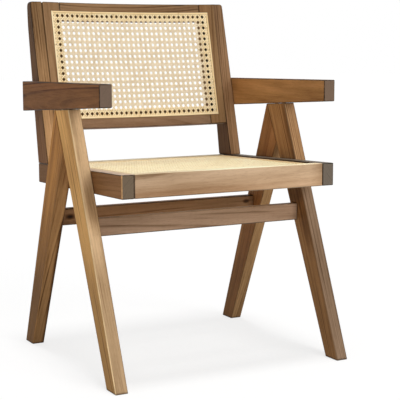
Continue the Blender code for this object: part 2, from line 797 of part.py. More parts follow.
def make_back_cane(kind):
    low, high = sheet_corners(kind)
    columns = bar_lines(low[0], high[0], CANE_BORDER, CANE_COLUMNS)
    rows = bar_lines(low[1], high[1], CANE_BORDER, CANE_ROWS)
    sheet = make_sheet("back_cane", columns, rows, kind, lambda x, z: 0.0)
    bow_piece(sheet, split=False)
    return sheet


def make_seat_cane(kind):
    # Flat where the net lies on the frame, and dished over the window
    low, high = sheet_corners(kind)
    window_low, window_high = flat_panel_area(kind)
    columns = bar_lines(low[0], high[0], window_low[0] - low[0], SEAT_CANE_COLUMNS)
    rows = bar_lines(low[1], high[1], window_low[1] - low[1], SEAT_CANE_ROWS)
    middle_z = (window_low[1] + window_high[1]) / 2

    def dish_at(x, z):
        across = min(abs(x) / window_high[0], 1)
        along = min(abs(z - middle_z) / (window_high[1] - middle_z), 1)
        return SEAT_DISH * (1 - across ** 2) * (1 - along ** 2)

    sheet = make_sheet("seat_cane", columns, rows, kind, dish_at)
    shade_round(sheet)
    return sheet


def make_bolt(name, place, side, pieces):
    # A round-headed bolt with a six-sided socket, driven outwards from inside the seat frame
    head_top = BOLT_HEAD_HEIGHT
    shape = bmesh.new()
    profile = [
        (0.0, head_top),
        (BOLT_HEAD_RADIUS - BOLT_HEAD_ROUND, head_top),
        (BOLT_HEAD_RADIUS, head_top - BOLT_HEAD_ROUND),
        (BOLT_HEAD_RADIUS, 0.0),
        (BOLT_RADIUS, 0.0),
        (BOLT_RADIUS, -BOLT_LENGTH + BOLT_RADIUS / 2),
        (BOLT_RADIUS / 2, -BOLT_LENGTH),
        (0.0, -BOLT_LENGTH),
    ]
    corners = [shape.verts.new((radius, 0.0, height)) for radius, height in profile]
    for start, end in zip(corners, corners[1:]):
        shape.edges.new((start, end))
    mesh = bpy.data.meshes.new(name)
    shape.to_mesh(mesh)
    shape.free()
    bolt = add_object(name, mesh, place, frame, "steel")
    bolt.rotation_euler = (0.0, -side * math.pi / 2, 0.0)
    turn = bolt.modifiers.new("turned", "SCREW")
    turn.steps = BOLT_STEPS
    turn.render_steps = BOLT_STEPS
    turn.use_merge_vertices = True
    turn.merge_threshold = WELD_DISTANCE
    turn.use_smooth_shade = True
    inner = Vector(place) - side * Vector((BOLT_HEAD_HEIGHT, 0.0, 0.0))
    socket = hex_cutter(name + "_socket", inner)
    cut(bolt, socket)
    length = BOLT_LENGTH + FIT_GAP + CUT_OVERRUN
    centre = Vector(place) + side * Vector((BOLT_LENGTH + FIT_GAP - length / 2, 0.0, 0.0))
    hole = rod(name + "_hole", centre, (1.0, 0.0, 0.0), length, BOLT_RADIUS + 2 * FIT_GAP, frame)
    for piece in pieces:
        cut(piece, hole)
    return bolt


def hex_cutter(name, place):
    shape = bmesh.new()
    bmesh.ops.create_cone(shape, cap_ends=True, segments=SOCKET_SIDES, radius1=BOLT_SOCKET_RADIUS,
                          radius2=BOLT_SOCKET_RADIUS, depth=2 * BOLT_SOCKET_DEPTH)
    mesh = bpy.data.meshes.new(name)
    shape.to_mesh(mesh)
    shape.free()
    cutter = add_object(name, mesh, place, frame, None)
    cutter.rotation_euler = (0.0, math.pi / 2, 0.0)
    return cutter


def join_arm(side_name, side, arm, front_leg, post):
    rear_y = FRONT_LEG_TOP_REAR_Y - ARM_DOWEL_EDGE
    for place, y in (("front", rear_y - ARM_DOWEL_SPACING), ("rear", rear_y)):
        centre = (side * BOARD_CENTRE_X, y, arm_underside(y) - FIT_GAP / 2)
        join_with_dowel(side_name + "_arm_leg_dowel_" + place, centre, (0.0, 0.0, 1.0), ARM_DOWEL_LENGTH,
                        DOWEL_RADIUS, (arm, front_leg))
    front, rear = post_edges()
    middle_z = (ARM_TOP_REAR + arm_underside(ARM_REAR_Y)) / 2
    for place, step in (("low", -1), ("high", 1)):
        z = middle_z + step * ARM_POST_DOWEL_SPACING / 2
        y = (line_y(z, *front) + line_y(z, *rear)) / 2
        centre = (side * (BOARD_INNER_X - FIT_GAP / 2), y, z)
        join_with_dowel(side_name + "_arm_post_dowel_" + place, centre, (1.0, 0.0, 0.0),
                        ARM_POST_DOWEL_LENGTH, DOWEL_RADIUS, (arm, post))


def join_legs(side_name, side, front_leg, rear_leg):
    low, high = leg_joint()
    along = Vector((0.0, low[0] - high[0], low[1] - high[1])).normalized()
    across = Vector((0.0, -along.z, along.y))
    centre = Vector((side * BOARD_CENTRE_X, high[0], high[1])) + along * LEG_DOWEL_FROM_TIP
    join_with_dowel(side_name + "_leg_dowel", centre, across, LEG_DOWEL_LENGTH, DOWEL_RADIUS,
                    (front_leg, rear_leg))


def join_post(side_name, side, post, side_rail):
    front_y = SEAT_REAR_Y - POST_BASE_DEPTH + POST_DOWEL_EDGE
    for place, y in (("front", front_y), ("rear", front_y + POST_DOWEL_SPACING)):
        centre = (side * RAIL_CENTRE_X, y, seat_top(y) + FIT_GAP / 2)
        join_with_dowel(side_name + "_post_dowel_" + place, centre, (0.0, 0.0, 1.0), POST_DOWEL_LENGTH,
                        DOWEL_RADIUS, (post, side_rail))


def join_panel(side_name, side, post, stile):
    front, rear = post_edges()
    low_z = PANEL_BOTTOM_HEIGHT + PANEL_DOWEL_EDGE
    high_z = CHAIR_HEIGHT - PANEL_DOWEL_EDGE
    for place, z in (("low", low_z), ("high", high_z)):
        start = max(line_y(z, *front), panel_front_y(z))
        end = min(line_y(z, *rear), panel_rear_y(z))
        centre = (side * (RAIL_INNER_X - FIT_GAP / 2), (start + end) / 2, z)
        join_with_dowel(side_name + "_panel_dowel_" + place, centre, (1.0, 0.0, 0.0), PANEL_DOWEL_LENGTH,
                        PANEL_DOWEL_RADIUS, (post, stile))


def bolt_legs(side_name, side, side_rail, legs):
    for leg_name, leg, edges in legs:
        middle_z = rail_bottom(0.0) + BOLT_RISE
        centre_y = (line_y(middle_z, *edges[0]) + line_y(middle_z, *edges[1])) / 2
        for place, step in (("front", -1), ("rear", 1)):
            y = centre_y + step * BOLT_SPACING / 2
            z = rail_bottom(y) + BOLT_RISE
            seat = (side * (RAIL_INNER_X - FIT_GAP), y, z)
            make_bolt(side_name + "_" + leg_name + "_bolt_" + place, seat, side, (side_rail, leg))


clear_scene()
chair = make_collection("cane_dining_armchair", False)
cutters = make_collection("cutters", True)
materials = {name: make_material(name) for name in FINISHES}
frame = make_empty("chair_frame", (0.0, 0.0, 0.0), 0.0, None)
seat_place = (0.0, SEAT_FRAME_FRONT_Y, seat_top(SEAT_FRAME_FRONT_Y) - SEAT_DROP)
seat_plane = make_empty("seat_plane", seat_place, -math.pi / 2 - SEAT_TILT, frame)
back_place = (0.0, PANEL_BOTTOM_Y, PANEL_BOTTOM_HEIGHT)
back_plane = make_empty("back_plane", back_place, -PANEL_LEAN, frame)

seat_kind = {
    "name": "seat_frame",
    "plane": seat_plane,
    "half_width": PANEL_HALF_WIDTH,
    "height": SEAT_FRAME_LENGTH,
    "thickness": SEAT_FRAME_THICKNESS,
    "side_width": SEAT_MEMBER_WIDTH,
    "low_width": SEAT_MEMBER_WIDTH,
    "high_width": SEAT_MEMBER_WIDTH,
    "side_margin": SEAT_CANE_MARGIN,
    "low_margin": SEAT_CANE_MARGIN,
    "high_margin": SEAT_CANE_MARGIN,
    "tenon_thickness": SEAT_TENON_THICKNESS,
    "low_name": "front",
    "high_name": "rear",
    "reed_name": "seat_reed",
    "finish": "rail_wood",
}
back_kind = {
    "name": "back_panel",
    "plane": back_plane,
    "half_width": PANEL_HALF_WIDTH,
    "height": PANEL_HEIGHT,
    "thickness": PANEL_THICKNESS,
    "side_width": PANEL_SIDE_WIDTH,
    "low_width": PANEL_BOTTOM_WIDTH,
    "high_width": PANEL_TOP_WIDTH,
    "side_margin": CANE_SIDE_MARGIN,
    "low_margin": CANE_BOTTOM_MARGIN,
    "high_margin": CANE_TOP_MARGIN,
    "tenon_thickness": PANEL_TENON_THICKNESS,
    "low_name": "bottom",
    "high_name": "top",
    "reed_name": "back_reed",
    "finish": "back_wood",
}

arms = {}
front_legs = {}
rear_legs = {}
side_rails = {}
posts = {}
for side_name, side in SIDES:
    arms[side_name] = make_armrest(side_name, side)
    front_legs[side_name] = make_front_leg(side_name, side)
    rear_legs[side_name] = make_rear_leg(side_name, side)
    side_rails[side_name] = make_side_rail(side_name, side)
    posts[side_name] = make_post(side_name, side)

rail_pair = list(side_rails.values())
front_rail = make_cross_rail("front_seat_rail", SEAT_FRONT_Y, 0.0, rail_pair)
rear_rail = make_cross_rail("rear_seat_rail", SEAT_REAR_Y - BOARD_THICKNESS, REAR_RAIL_DROP, rail_pair)
make_cane_frame(seat_kind)
make_reed(seat_kind)
make_seat_cane(seat_kind)
seat_clearance = make_seat_clearance(seat_kind)
front_top = SEAT_FRONT_HEIGHT - FRONT_STRETCHER_DROP
front_y = stretcher_front_y(front_leg_edges(), front_top, FRONT_STRETCHER_REACH_SHARE)
make_stretcher("front_stretcher", front_y, front_top, front_legs.values())
rear_top = SEAT_FRONT_HEIGHT - REAR_STRETCHER_DROP
rear_y = stretcher_front_y(rear_leg_edges(), rear_top, REAR_STRETCHER_REACH_SHARE)
make_stretcher("rear_stretcher", rear_y, rear_top, rear_legs.values())
panel = make_cane_frame(back_kind)
for member in panel.values():
    bow_piece(member)
bow_piece(make_reed(back_kind))
make_back_cane(back_kind)

for side_name, side in SIDES:
    join_arm(side_name, side, arms[side_name], front_legs[side_name], posts[side_name])
    join_legs(side_name, side, front_legs[side_name], rear_legs[side_name])
    join_post(side_name, side, posts[side_name], side_rails[side_name])
    join_panel(side_name, side, posts[side_name], panel[side_name])
    leg_pair = (
        ("front_leg", front_legs[side_name], front_leg_edges()),
        ("rear_leg", rear_legs[side_name], rear_leg_edges()),
    )
    bolt_legs(side_name, side, side_rails[side_name], leg_pair)
    inner_front = SEAT_FRONT_Y + BOARD_THICKNESS + FIT_GAP
    inner_rear = SEAT_REAR_Y - BOARD_THICKNESS - FIT_GAP
    make_corner_block("front", side_name, side, inner_front, 1)
    make_corner_block("rear", side_name, side, inner_rear, -1)

bpy.context.view_layer.update()
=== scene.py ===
# Cane dining armchair: finished boards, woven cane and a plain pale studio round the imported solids.
import math

import bpy
import numpy as np
from mathutils import Matrix, Vector


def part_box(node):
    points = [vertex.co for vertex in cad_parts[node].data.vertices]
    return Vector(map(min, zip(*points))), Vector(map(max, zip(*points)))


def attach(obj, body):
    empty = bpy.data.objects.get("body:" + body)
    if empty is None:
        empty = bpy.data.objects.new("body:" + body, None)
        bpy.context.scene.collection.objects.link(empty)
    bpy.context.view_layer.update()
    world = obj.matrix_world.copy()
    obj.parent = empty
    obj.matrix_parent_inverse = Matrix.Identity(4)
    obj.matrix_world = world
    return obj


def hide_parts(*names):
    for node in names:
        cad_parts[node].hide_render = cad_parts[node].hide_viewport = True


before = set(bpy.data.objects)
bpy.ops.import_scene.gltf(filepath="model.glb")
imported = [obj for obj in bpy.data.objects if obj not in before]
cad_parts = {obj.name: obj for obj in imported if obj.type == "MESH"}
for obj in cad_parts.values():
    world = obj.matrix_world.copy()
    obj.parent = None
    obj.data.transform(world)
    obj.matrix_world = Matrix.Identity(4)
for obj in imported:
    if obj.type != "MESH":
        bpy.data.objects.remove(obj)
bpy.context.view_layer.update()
print("armchair: solids loaded")

# Ways to look in the chair's frame: across it, from front to back, and up
side = (1.0, 0.0, 0.0)
front = (0.0, 1.0, 0.0)
top = (0.0, 0.0, 1.0)


# Camera at the photograph's place

view = {
    "eye": (-1.2124, -2.3327, 0.6896),
    "yaw": -28.548,             # turns in degrees, lens and sensor in millimetres
    "pitch": -7.513,
    "roll": -0.133,
    "lens": 105.6,
    "sensor": 36.0,
}


def placeCamera():
    yaw, pitch, roll = (math.radians(view[turn]) for turn in ("yaw", "pitch", "roll"))
    ahead = Vector((-math.sin(yaw) * math.cos(pitch), math.cos(yaw) * math.cos(pitch), math.sin(pitch)))
    right = Vector((math.cos(yaw), math.sin(yaw), 0.0))
    up = right.cross(ahead)
    rolledRight = math.cos(roll) * right + math.sin(roll) * up
    rolledUp = math.cos(roll) * up - math.sin(roll) * right
    turned = Matrix((rolledRight, rolledUp, -ahead)).transposed()
    lens = bpy.data.cameras.new("photoCamera")
    lens.lens = view["lens"]
    lens.sensor_width = view["sensor"]
    lens.dof.use_dof = False
    camera = bpy.data.objects.new("photoCamera", lens)
    camera.matrix_world = Matrix.Translation(view["eye"]) @ turned.to_4x4()
    bpy.context.scene.collection.objects.link(camera)
    bpy.context.scene.camera = camera


placeCamera()
print("armchair: camera placed")


# Small helpers for building materials node by node

sensing = {
    "jointSamples": 6,
    "joint": (0.30, 0.92),  # how open a place is in full shade, and out of it
    "edgeSamples": 8,
    "edge": (0.90, 0.985),  # how straight the smoothed normal stands on an edge, and clear of it
}


def tone(red, green, blue):  # a colour as it looks on a screen, 0 to 255
    parts = [max(0.0, min(255.0, part)) / 255 for part in (red, green, blue)]
    return tuple(((p + 0.055) / 1.055) ** 2.4 if p > 0.04045 else p / 12.92 for p in parts) + (1.0,)


def scaled(colour, share):  # a screen colour made lighter or darker
    return tone(*(share * part for part in colour))


def put(socket, value):  # a link from another node, or a fixed value
    if isinstance(value, bpy.types.NodeSocket):
        socket.id_data.links.new(value, socket)
    else:
        socket.default_value = value


def calc(tree, operation, *values):
    node = tree.nodes.new("ShaderNodeMath")
    node.operation = operation
    for socket, value in zip(node.inputs, values):
        put(socket, value)
    return node.outputs[0]


def shift(tree, operation, *values):
    node = tree.nodes.new("ShaderNodeVectorMath")
    node.operation = operation
    for socket, value in zip(node.inputs, values):
        put(socket, value)
    return node.outputs["Value" if operation in ("DOT_PRODUCT", "LENGTH") else "Vector"]


def joined(tree, *values):  # a vector from its three parts
    node = tree.nodes.new("ShaderNodeCombineXYZ")
    for socket, value in zip(node.inputs, values):
        put(socket, value)
    return node.outputs[0]


def fleck(tree, place, stretch, detail=2.0, rough=0.5, output="Fac"):  # noise drawn out by a stretch
    node = tree.nodes.new("ShaderNodeTexNoise")
    put(node.inputs["Vector"], shift(tree, "MULTIPLY", place, stretch))
    node.inputs["Scale"].default_value = 1.0
    node.inputs["Detail"].default_value = detail
    node.inputs["Roughness"].default_value = rough
    return node.outputs[output]


def rise(tree, value, start, end, low=0.0, high=1.0):  # eases from low to high between start and end
    node = tree.nodes.new("ShaderNodeMapRange")
    node.interpolation_type = "SMOOTHSTEP"
    for socket, number in zip(node.inputs, (value, start, end, low, high)):
        put(socket, number)
    return node.outputs[0]


def shades(tree, value, stops):
    node = tree.nodes.new("ShaderNodeValToRGB")
    ramp = node.color_ramp
    while len(ramp.elements) < len(stops):
        ramp.elements.new(1.0)
    for element, (position, colour) in zip(ramp.elements, stops):
        element.position = position
        element.color = colour
    put(node.inputs[0], value)
    return node.outputs["Color"]


def blend(tree, mode, amount, under, over):
    node = tree.nodes.new("ShaderNodeMix")
    node.data_type = "RGBA"
    node.blend_type = mode
    put(node.inputs[0], amount)
    put(node.inputs[6], under)      # sockets 6 and 7 are the node's pair of colours
    put(node.inputs[7], over)
    return node.outputs[2]


def darken(tree, colour, share):
    return blend(tree, "MULTIPLY", 1.0, colour, share)


def ownRandom(tree, value):  # one random number for each whole number
    node = tree.nodes.new("ShaderNodeTexWhiteNoise")
    node.noise_dimensions = "1D"
    put(node.inputs["W"], value)
    return node.outputs["Value"]


def openness(tree, reach):  # 1 on a free face, less the closer another face is
    node = tree.nodes.new("ShaderNodeAmbientOcclusion")
    node.samples = sensing["jointSamples"]
    node.inputs["Distance"].default_value = reach
    return node.outputs["AO"]


def jointShade(tree, free, low):  # painted shade: darker close into a joint or corner, where shade falls
    return rise(tree, free, *sensing["joint"], low, 1.0)


def nearEdge(tree, normal, reach):  # 1 on an edge of the piece and a little way in from it
    node = tree.nodes.new("ShaderNodeBevel")
    node.samples = sensing["edgeSamples"]
    node.inputs["Radius"].default_value = reach
    return rise(tree, shift(tree, "DOT_PRODUCT", node.outputs[0], normal), *sensing["edge"], 1.0, 0.0)


def newMaterial(name):
    material = bpy.data.materials.new(name)
    material.use_nodes = True
    material.node_tree.nodes.clear()
    return material, material.node_tree


def objectPlace(tree):  # metres in the chair's frame, since every solid lies at the origin
    return tree.nodes.new("ShaderNodeTexCoord").outputs["Object"]


def finishSurface(tree, colour, roughness, height, bump, fixed):
    shader = tree.nodes.new("ShaderNodeBsdfPrincipled")
    for name, value in fixed.items():
        shader.inputs[name].default_value = value
    put(shader.inputs["Base Color"], colour)
    put(shader.inputs["Roughness"], roughness)
    relief = tree.nodes.new("ShaderNodeBump")
    relief.inputs["Strength"].default_value = bump["strength"]
    relief.inputs["Distance"].default_value = bump["distance"]
    put(relief.inputs["Height"], height)
    put(shader.inputs["Normal"], relief.outputs[0])
    out = tree.nodes.new("ShaderNodeOutputMaterial")
    put(out.inputs["Surface"], shader.outputs[0])


# Wood: growth rings cut by each board where it lies in the log, with its own tone

woodNoise = {  # cells per metre across, along and through the board, then detail and roughness
    "wander": ((4.5, 0.9, 4.5), 1.0, 0.5),
    "ripple": ((55.0, 7.0, 55.0), 2.0, 0.5),
    "ringFade": ((40.0, 4.0, 40.0), 2.0, 0.5),
    "band": ((210.0, 2.4, 1.0), 4.0, 0.72),
    "cloud": ((24.0, 3.2, 24.0), 3.0, 0.55),
    "fibre": ((620.0, 14.0, 620.0), 3.0, 0.65),
    "pore": ((2100.0, 75.0, 2100.0), 1.0, 0.4),
    "warmth": ((9.0, 0.9, 9.0), 1.0, 0.5),
    "openPore": ((1300.0, 200.0, 1300.0), 2.0, 0.6),
    "rub": ((140.0, 30.0, 140.0), 3.0, 0.5),
}
woodEase = {  # where each change starts and ends, then its value there if not 0 and 1 or the board's own
    "lateComes": (0.42, 0.88),          # over this share of a ring it darkens
    "lateGoes": (0.91, 1.0, 1.0, 0.0),
    "ringFade": (0.36, 0.64, 0.10, 1.0),
    "pore": (0.60, 0.70),
    "warmth": (0.45, 0.75, 0.0, 0.4),
    "edgeFace": (0.70, 0.95),           # how squarely a face looks across the board
    "endFace": (0.80, 0.94),            # or along it
    "arris": (0.935, 0.985, 1.0, 0.0),
    "rub": (0.35, 0.65, 0.60, 1.0),
    "clearOfJoint": (0.72, 0.96),       # openness at which the painted shade of an arris comes in
    "lookUp": (0.10, 0.35),
    "rubbedFace": (0.80, 0.89),
    "mottle": (0.25, 1.0),              # in sizes of the blotch from its middle
    "eye": (0.20, 0.70),
    "ledgeDepth": (0.0008, 0.0014),     # in metres under the frame's face
    "ledgeFace": (0.75, 0.95),
}
wood = {
    "ringsPerMetre": 215.0,
    "wander": 0.018,                # how far the rings bend, in metres
    "ripple": 0.0009,
    "climb": 0.014,                 # rings crossed for each metre of length, as a share
    "ringPower": 3.0,               # a few rings are much darker than the rest
    "ringSpread": 1.1,
    "ringLeast": 0.14,
    "apart": (0.37, 1.73, 0.91),    # how far one board lies from the next in the noise
    "bandApart": 0.31,
    "ground": 0.30,                 # darkness before any figure
    "ringShare": 0.62,
    "bandShare": 1.00,
    "cloudShare": 1.15,
    "fibreShare": 0.55,
    "toneStops": (0.0, 0.36, 0.68, 1.0),
    "toneShares": ((1.18, 1.20, 1.24), (1.02, 1.02, 1.02), (0.81, 0.77, 0.72), (0.60, 0.54, 0.47)),
    "warmShare": (1.10, 0.97, 0.86),
    "poreDepth": 0.38,
    "poreTone": (0.42, 0.36, 0.32, 1.0),
    "eyeTone": (30, 16, 8),
    "endTone": (120, 104, 88),
    "endStops": ((0.0, 1.18), (0.45, 1.0), (1.0, 0.62)),
    "endRings": 0.35,
    "endPores": (0.9, -0.15),
    "stainReach": 0.0026,           # the painted shade of an arris fades out on the faces beside it
    "stainBeside": 0.55,
    "arris": (1.0, 0.26),           # how much painted shade each arris takes, and how dark
    "joint": (0.004, 0.50),         # how far the shade of a joint reaches, and how dark it is
    "footReach": (0.001, 0.006),    # painted shade where the feet meet the floor, with dirt, on their lowest millimetres
    "footShadeAndDirt": 0.42,
    "rebateTone": (76, 54, 32),     # painted shade on the ledge that carries the cane, seen dark through the holes
    "roughness": 0.50,
    "endRoughness": 0.64,
    "fibreRoughness": 0.14,
    "poreRoughness": 0.12,
    "arrisRoughness": -0.14,
    "ringHeight": 0.25,
    "fibreHeight": 0.45,
    "poreHeight": -0.50,
    "bump": {"strength": 0.35, "distance": 0.0003},
    "fixed": {"Specular IOR Level": 0.05},
}


def palette(colour, contrast):  # light, middling, dark and deepest tone of one board
    return [tone(*(part * (1 + contrast * (share - 1)) for part, share in zip(colour, shares)))
            for shares in wood["toneShares"]]


def growthRings(tree, spot, drift, board):  # rings round a pith that lies beside the board
    bent = spot
    for kind in ("wander", "ripple"):
        away = shift(tree, "SUBTRACT", fleck(tree, drift, *woodNoise[kind], "Color"), (0.5, 0.5, 0.5))
        bent = shift(tree, "ADD", bent, shift(tree, "MULTIPLY", away, (wood[kind], 0.0, wood[kind])))
    fromPith = shift(tree, "SUBTRACT", bent, (board["pith"][0], 0.0, board["pith"][1]))
    radius = shift(tree, "LENGTH", shift(tree, "MULTIPLY", fromPith, (1.0, 0.0, 1.0)))
    length = shift(tree, "DOT_PRODUCT", spot, (0.0, 1.0, 0.0))
    radius = calc(tree, "MULTIPLY_ADD", length, board.get("climb", wood["climb"]), radius)
    ring = calc(tree, "MULTIPLY", radius, wood["ringsPerMetre"])
    part = calc(tree, "FRACT", ring)
    comes, goes = (rise(tree, part, *woodEase[kind]) for kind in ("lateComes", "lateGoes"))
    late = calc(tree, "MULTIPLY", comes, goes)
    own = calc(tree, "POWER", ownRandom(tree, calc(tree, "FLOOR", ring)), wood["ringPower"])
    own = calc(tree, "MULTIPLY_ADD", own, wood["ringSpread"], wood["ringLeast"])
    fade = rise(tree, fleck(tree, drift, *woodNoise["ringFade"]), *woodEase["ringFade"])
    late = calc(tree, "MULTIPLY", late, calc(tree, "MULTIPLY", fade, own))
    return bent, length, radius, late


def addMottleAndShade(tree, dark, spot, bent, marks):  # soft dark and pale blotches, some of them painted shade, and the black eye of a knot
    eyes = []
    for mark in marks:
        away = shift(tree, "SUBTRACT", spot if mark.get("straight") else bent, mark["place"])
        away = shift(tree, "LENGTH", shift(tree, "DIVIDE", away, mark["size"]))
        dark = calc(tree, "ADD", dark, rise(tree, away, *woodEase["mottle"], mark["depth"], 0.0))
        if "eye" in mark:
            eyes.append(rise(tree, away, *woodEase["eye"], mark["eye"], 0.0))
    return dark, eyes


def faceColour(tree, drift, length, dark, facing, board):
    contrast = board.get("contrast", 1.0)

    def toned(colour):
        return shades(tree, dark, list(zip(wood["toneStops"], palette(colour, contrast))))

    colour = toned(board["tone"])
    warm = tone(*(part * share for part, share in zip(board["tone"], wood["warmShare"])))
    warmth = rise(tree, fleck(tree, drift, *woodNoise["warmth"]), *woodEase["warmth"])
    colour = blend(tree, "MIX", warmth, colour, warm)
    if "edge" in board:                           # the narrow edges take a tone of their own, partly another cut of the log and partly painted sheen and shade
        edgeColour = toned(board["edge"])
        if "edgeHigh" in board:                   # and may change tone along the run
            high = board["edgeHigh"]
            further = rise(tree, length, high["from"], high["to"])
            edgeColour = blend(tree, "MIX", further, edgeColour, toned(high["tone"]))
        colour = blend(tree, "MIX", rise(tree, facing[0], *woodEase["edgeFace"]), colour, edgeColour)
    if "ends" in board:                           # tone at the low and the high end of the run
        half, first, last = board["ends"]
        colour = darken(tree, colour, rise(tree, length, -half, half, first, last))
    return colour


def endGrain(tree, drift, late, board):  # greyer, with open pores
    pores = calc(tree, "MULTIPLY_ADD", fleck(tree, drift, *woodNoise["openPore"]), *wood["endPores"])
    dark = calc(tree, "MULTIPLY_ADD", late, wood["endRings"], pores)
    endTone = board.get("endTone", wood["endTone"])
    return shades(tree, dark, [(stop, scaled(endTone, share)) for stop, share in wood["endStops"]])


def paintArrisShadeAndHighlight(tree, colour, drift, normal, arris, free, ways, board):
    # painted shade on most arrises and the faces just beside them, and a tone of its own on the arris that a
    # board names by the way it looks
    rub = rise(tree, fleck(tree, drift, *woodNoise["rub"]), *woodEase["rub"])
    strength, share = board.get("arris", wood["arris"])
    beside = calc(tree, "MULTIPLY", nearEdge(tree, normal, wood["stainReach"]), wood["stainBeside"])
    edge = calc(tree, "MAXIMUM", arris, beside)
    clear = rise(tree, free, *woodEase["clearOfJoint"], 0.0, strength)
    arrisShade = calc(tree, "MULTIPLY", calc(tree, "MULTIPLY", edge, rub), clear)
    if "upperArris" in board:                     # arrises that look up take less painted shade
        upward = shift(tree, "DOT_PRODUCT", normal, top)
        arrisShade = calc(tree, "MULTIPLY", arrisShade, rise(tree, upward, *woodEase["lookUp"], 1.0, board["upperArris"]))
    colour = blend(tree, "MIX", arrisShade, colour, scaled(board["tone"], share))
    # painted highlight on the arris that looks the way the board names; on a few boards the tone is darker
    # and paints a dark line there
    if "rubbed" in board:
        look = sum((part * way for part, way in zip(board["rubbed"]["looks"], ways)), Vector()).normalized()
        here = rise(tree, shift(tree, "DOT_PRODUCT", normal, tuple(look)), *woodEase["rubbedFace"])
        here = calc(tree, "MULTIPLY", here, rub)
        colour = blend(tree, "MIX", here, colour, tone(*board["rubbed"]["tone"]))
    return colour


def underCane(tree, place, normal, panel):  # 1 on the ledge that the cane lies on, found by its depth
    inward = Vector((0.0, math.cos(panel["lean"]), -math.sin(panel["lean"])))
    faceDepth = inward.dot(Vector(panel["origin"]))
    depth = calc(tree, "SUBTRACT", shift(tree, "DOT_PRODUCT", place, tuple(inward)), faceDepth)
    share = calc(tree, "DIVIDE", shift(tree, "DOT_PRODUCT", place, side), panel["bowReach"])
    bow = calc(tree, "SUBTRACT", 1.0, calc(tree, "MULTIPLY", share, share))
    depth = calc(tree, "SUBTRACT", depth, calc(tree, "MULTIPLY", bow, panel["bow"]))
    deep = rise(tree, depth, *woodEase["ledgeDepth"])
    faced = rise(tree, shift(tree, "DOT_PRODUCT", normal, tuple(-inward)), *woodEase["ledgeFace"])
    return calc(tree, "MULTIPLY", deep, faced)


def woodMaterial(name, centre, along, face, board):
    material, tree = newMaterial(name)
    along = Vector(along).normalized()
    across = along.cross(Vector(face)).normalized()
    through = across.cross(along)
    ways = (across, along, through)
    inChair = objectPlace(tree)
    place = tree.nodes.new("ShaderNodeMapping")
    place.vector_type = "TEXTURE"
    place.inputs["Location"].default_value = centre
    place.inputs["Rotation"].default_value = Matrix(ways).transposed().to_euler()
    put(place.inputs["Vector"], inChair)
    spot = place.outputs[0]                       # metres across, along and through the board
    drift = shift(tree, "ADD", spot, tuple(step * board["number"] for step in wood["apart"]))
    normal = tree.nodes.new("ShaderNodeNewGeometry").outputs["True Normal"]
    facing = [calc(tree, "ABSOLUTE", shift(tree, "DOT_PRODUCT", normal, tuple(way))) for way in ways]

    # rings, bands of a few rings, clouds, fibres and pores along the grain
    bent, length, radius, late = growthRings(tree, spot, drift, board)
    band = fleck(tree, joined(tree, radius, length, wood["bandApart"] * board["number"]), *woodNoise["band"])
    cloud = fleck(tree, drift, *woodNoise["cloud"])
    fibre = fleck(tree, drift, *woodNoise["fibre"])
    pore = rise(tree, fleck(tree, drift, *woodNoise["pore"]), *woodEase["pore"])
    dark = calc(tree, "MULTIPLY_ADD", late, wood["ringShare"] * board.get("rings", 1.0), wood["ground"])
    for value, share in ((band, wood["bandShare"] * board.get("bands", 1.0)),
                         (cloud, wood["cloudShare"] * board.get("clouds", 1.0)),
                         (fibre, wood["fibreShare"])):
        dark = calc(tree, "MULTIPLY_ADD", calc(tree, "SUBTRACT", value, 0.5), share, dark)
    dark, eyes = addMottleAndShade(tree, dark, spot, bent, board.get("mottle", ()))

    colour = faceColour(tree, drift, length, dark, facing, board)
    poreShare = calc(tree, "MULTIPLY", pore, wood["poreDepth"])
    colour = blend(tree, "MIX", poreShare, colour, darken(tree, colour, wood["poreTone"]))
    for eye in eyes:
        colour = blend(tree, "MIX", eye, colour, tone(*wood["eyeTone"]))
    endOn = rise(tree, facing[1], *woodEase["endFace"])
    colour = blend(tree, "MIX", endOn, colour, endGrain(tree, drift, late, board))

    # painted shade on the arrises, in the joints, at the feet with some dirt and on the ledge under the cane,
    # and a painted highlight on one arris
    flat = calc(tree, "MAXIMUM", facing[0], calc(tree, "MAXIMUM", facing[1], facing[2]))
    arris = rise(tree, flat, *woodEase["arris"])
    jointReach, jointDark = board.get("joint", wood["joint"])
    free = openness(tree, jointReach)
    colour = paintArrisShadeAndHighlight(tree, colour, drift, normal, arris, free, ways, board)
    # painted shade close into the joints
    colour = darken(tree, colour, jointShade(tree, free, jointDark))
    # painted shade, with dirt, on the lowest millimetres of the feet
    aboveFloor = shift(tree, "DOT_PRODUCT", inChair, top)
    colour = darken(tree, colour, rise(tree, aboveFloor, *wood["footReach"], wood["footShadeAndDirt"], 1.0))
    # painted shade: the ledge under the cane is darkened where the holes of the weave show it
    if "rebate" in board:
        ledge = underCane(tree, inChair, normal, board["rebate"])
        colour = blend(tree, "MIX", ledge, colour, tone(*board.get("rebateTone", wood["rebateTone"])))

    roughness = wood["roughness"] - wood["fibreRoughness"] / 2
    for value, share in ((fibre, wood["fibreRoughness"]), (pore, wood["poreRoughness"]),
                         (endOn, wood["endRoughness"] - wood["roughness"]), (arris, wood["arrisRoughness"])):
        roughness = calc(tree, "MULTIPLY_ADD", value, share, roughness)
    height = calc(tree, "MULTIPLY", fibre, wood["fibreHeight"])
    for value, share in ((late, wood["ringHeight"]), (pore, wood["poreHeight"])):
        height = calc(tree, "MULTIPLY_ADD", value, share, height)
    finishSurface(tree, colour, roughness, height, wood["bump"], wood["fixed"])
    return material


# Lie of the two cane panels: a plane with its own x across, z up or back, and depth below the frame's face

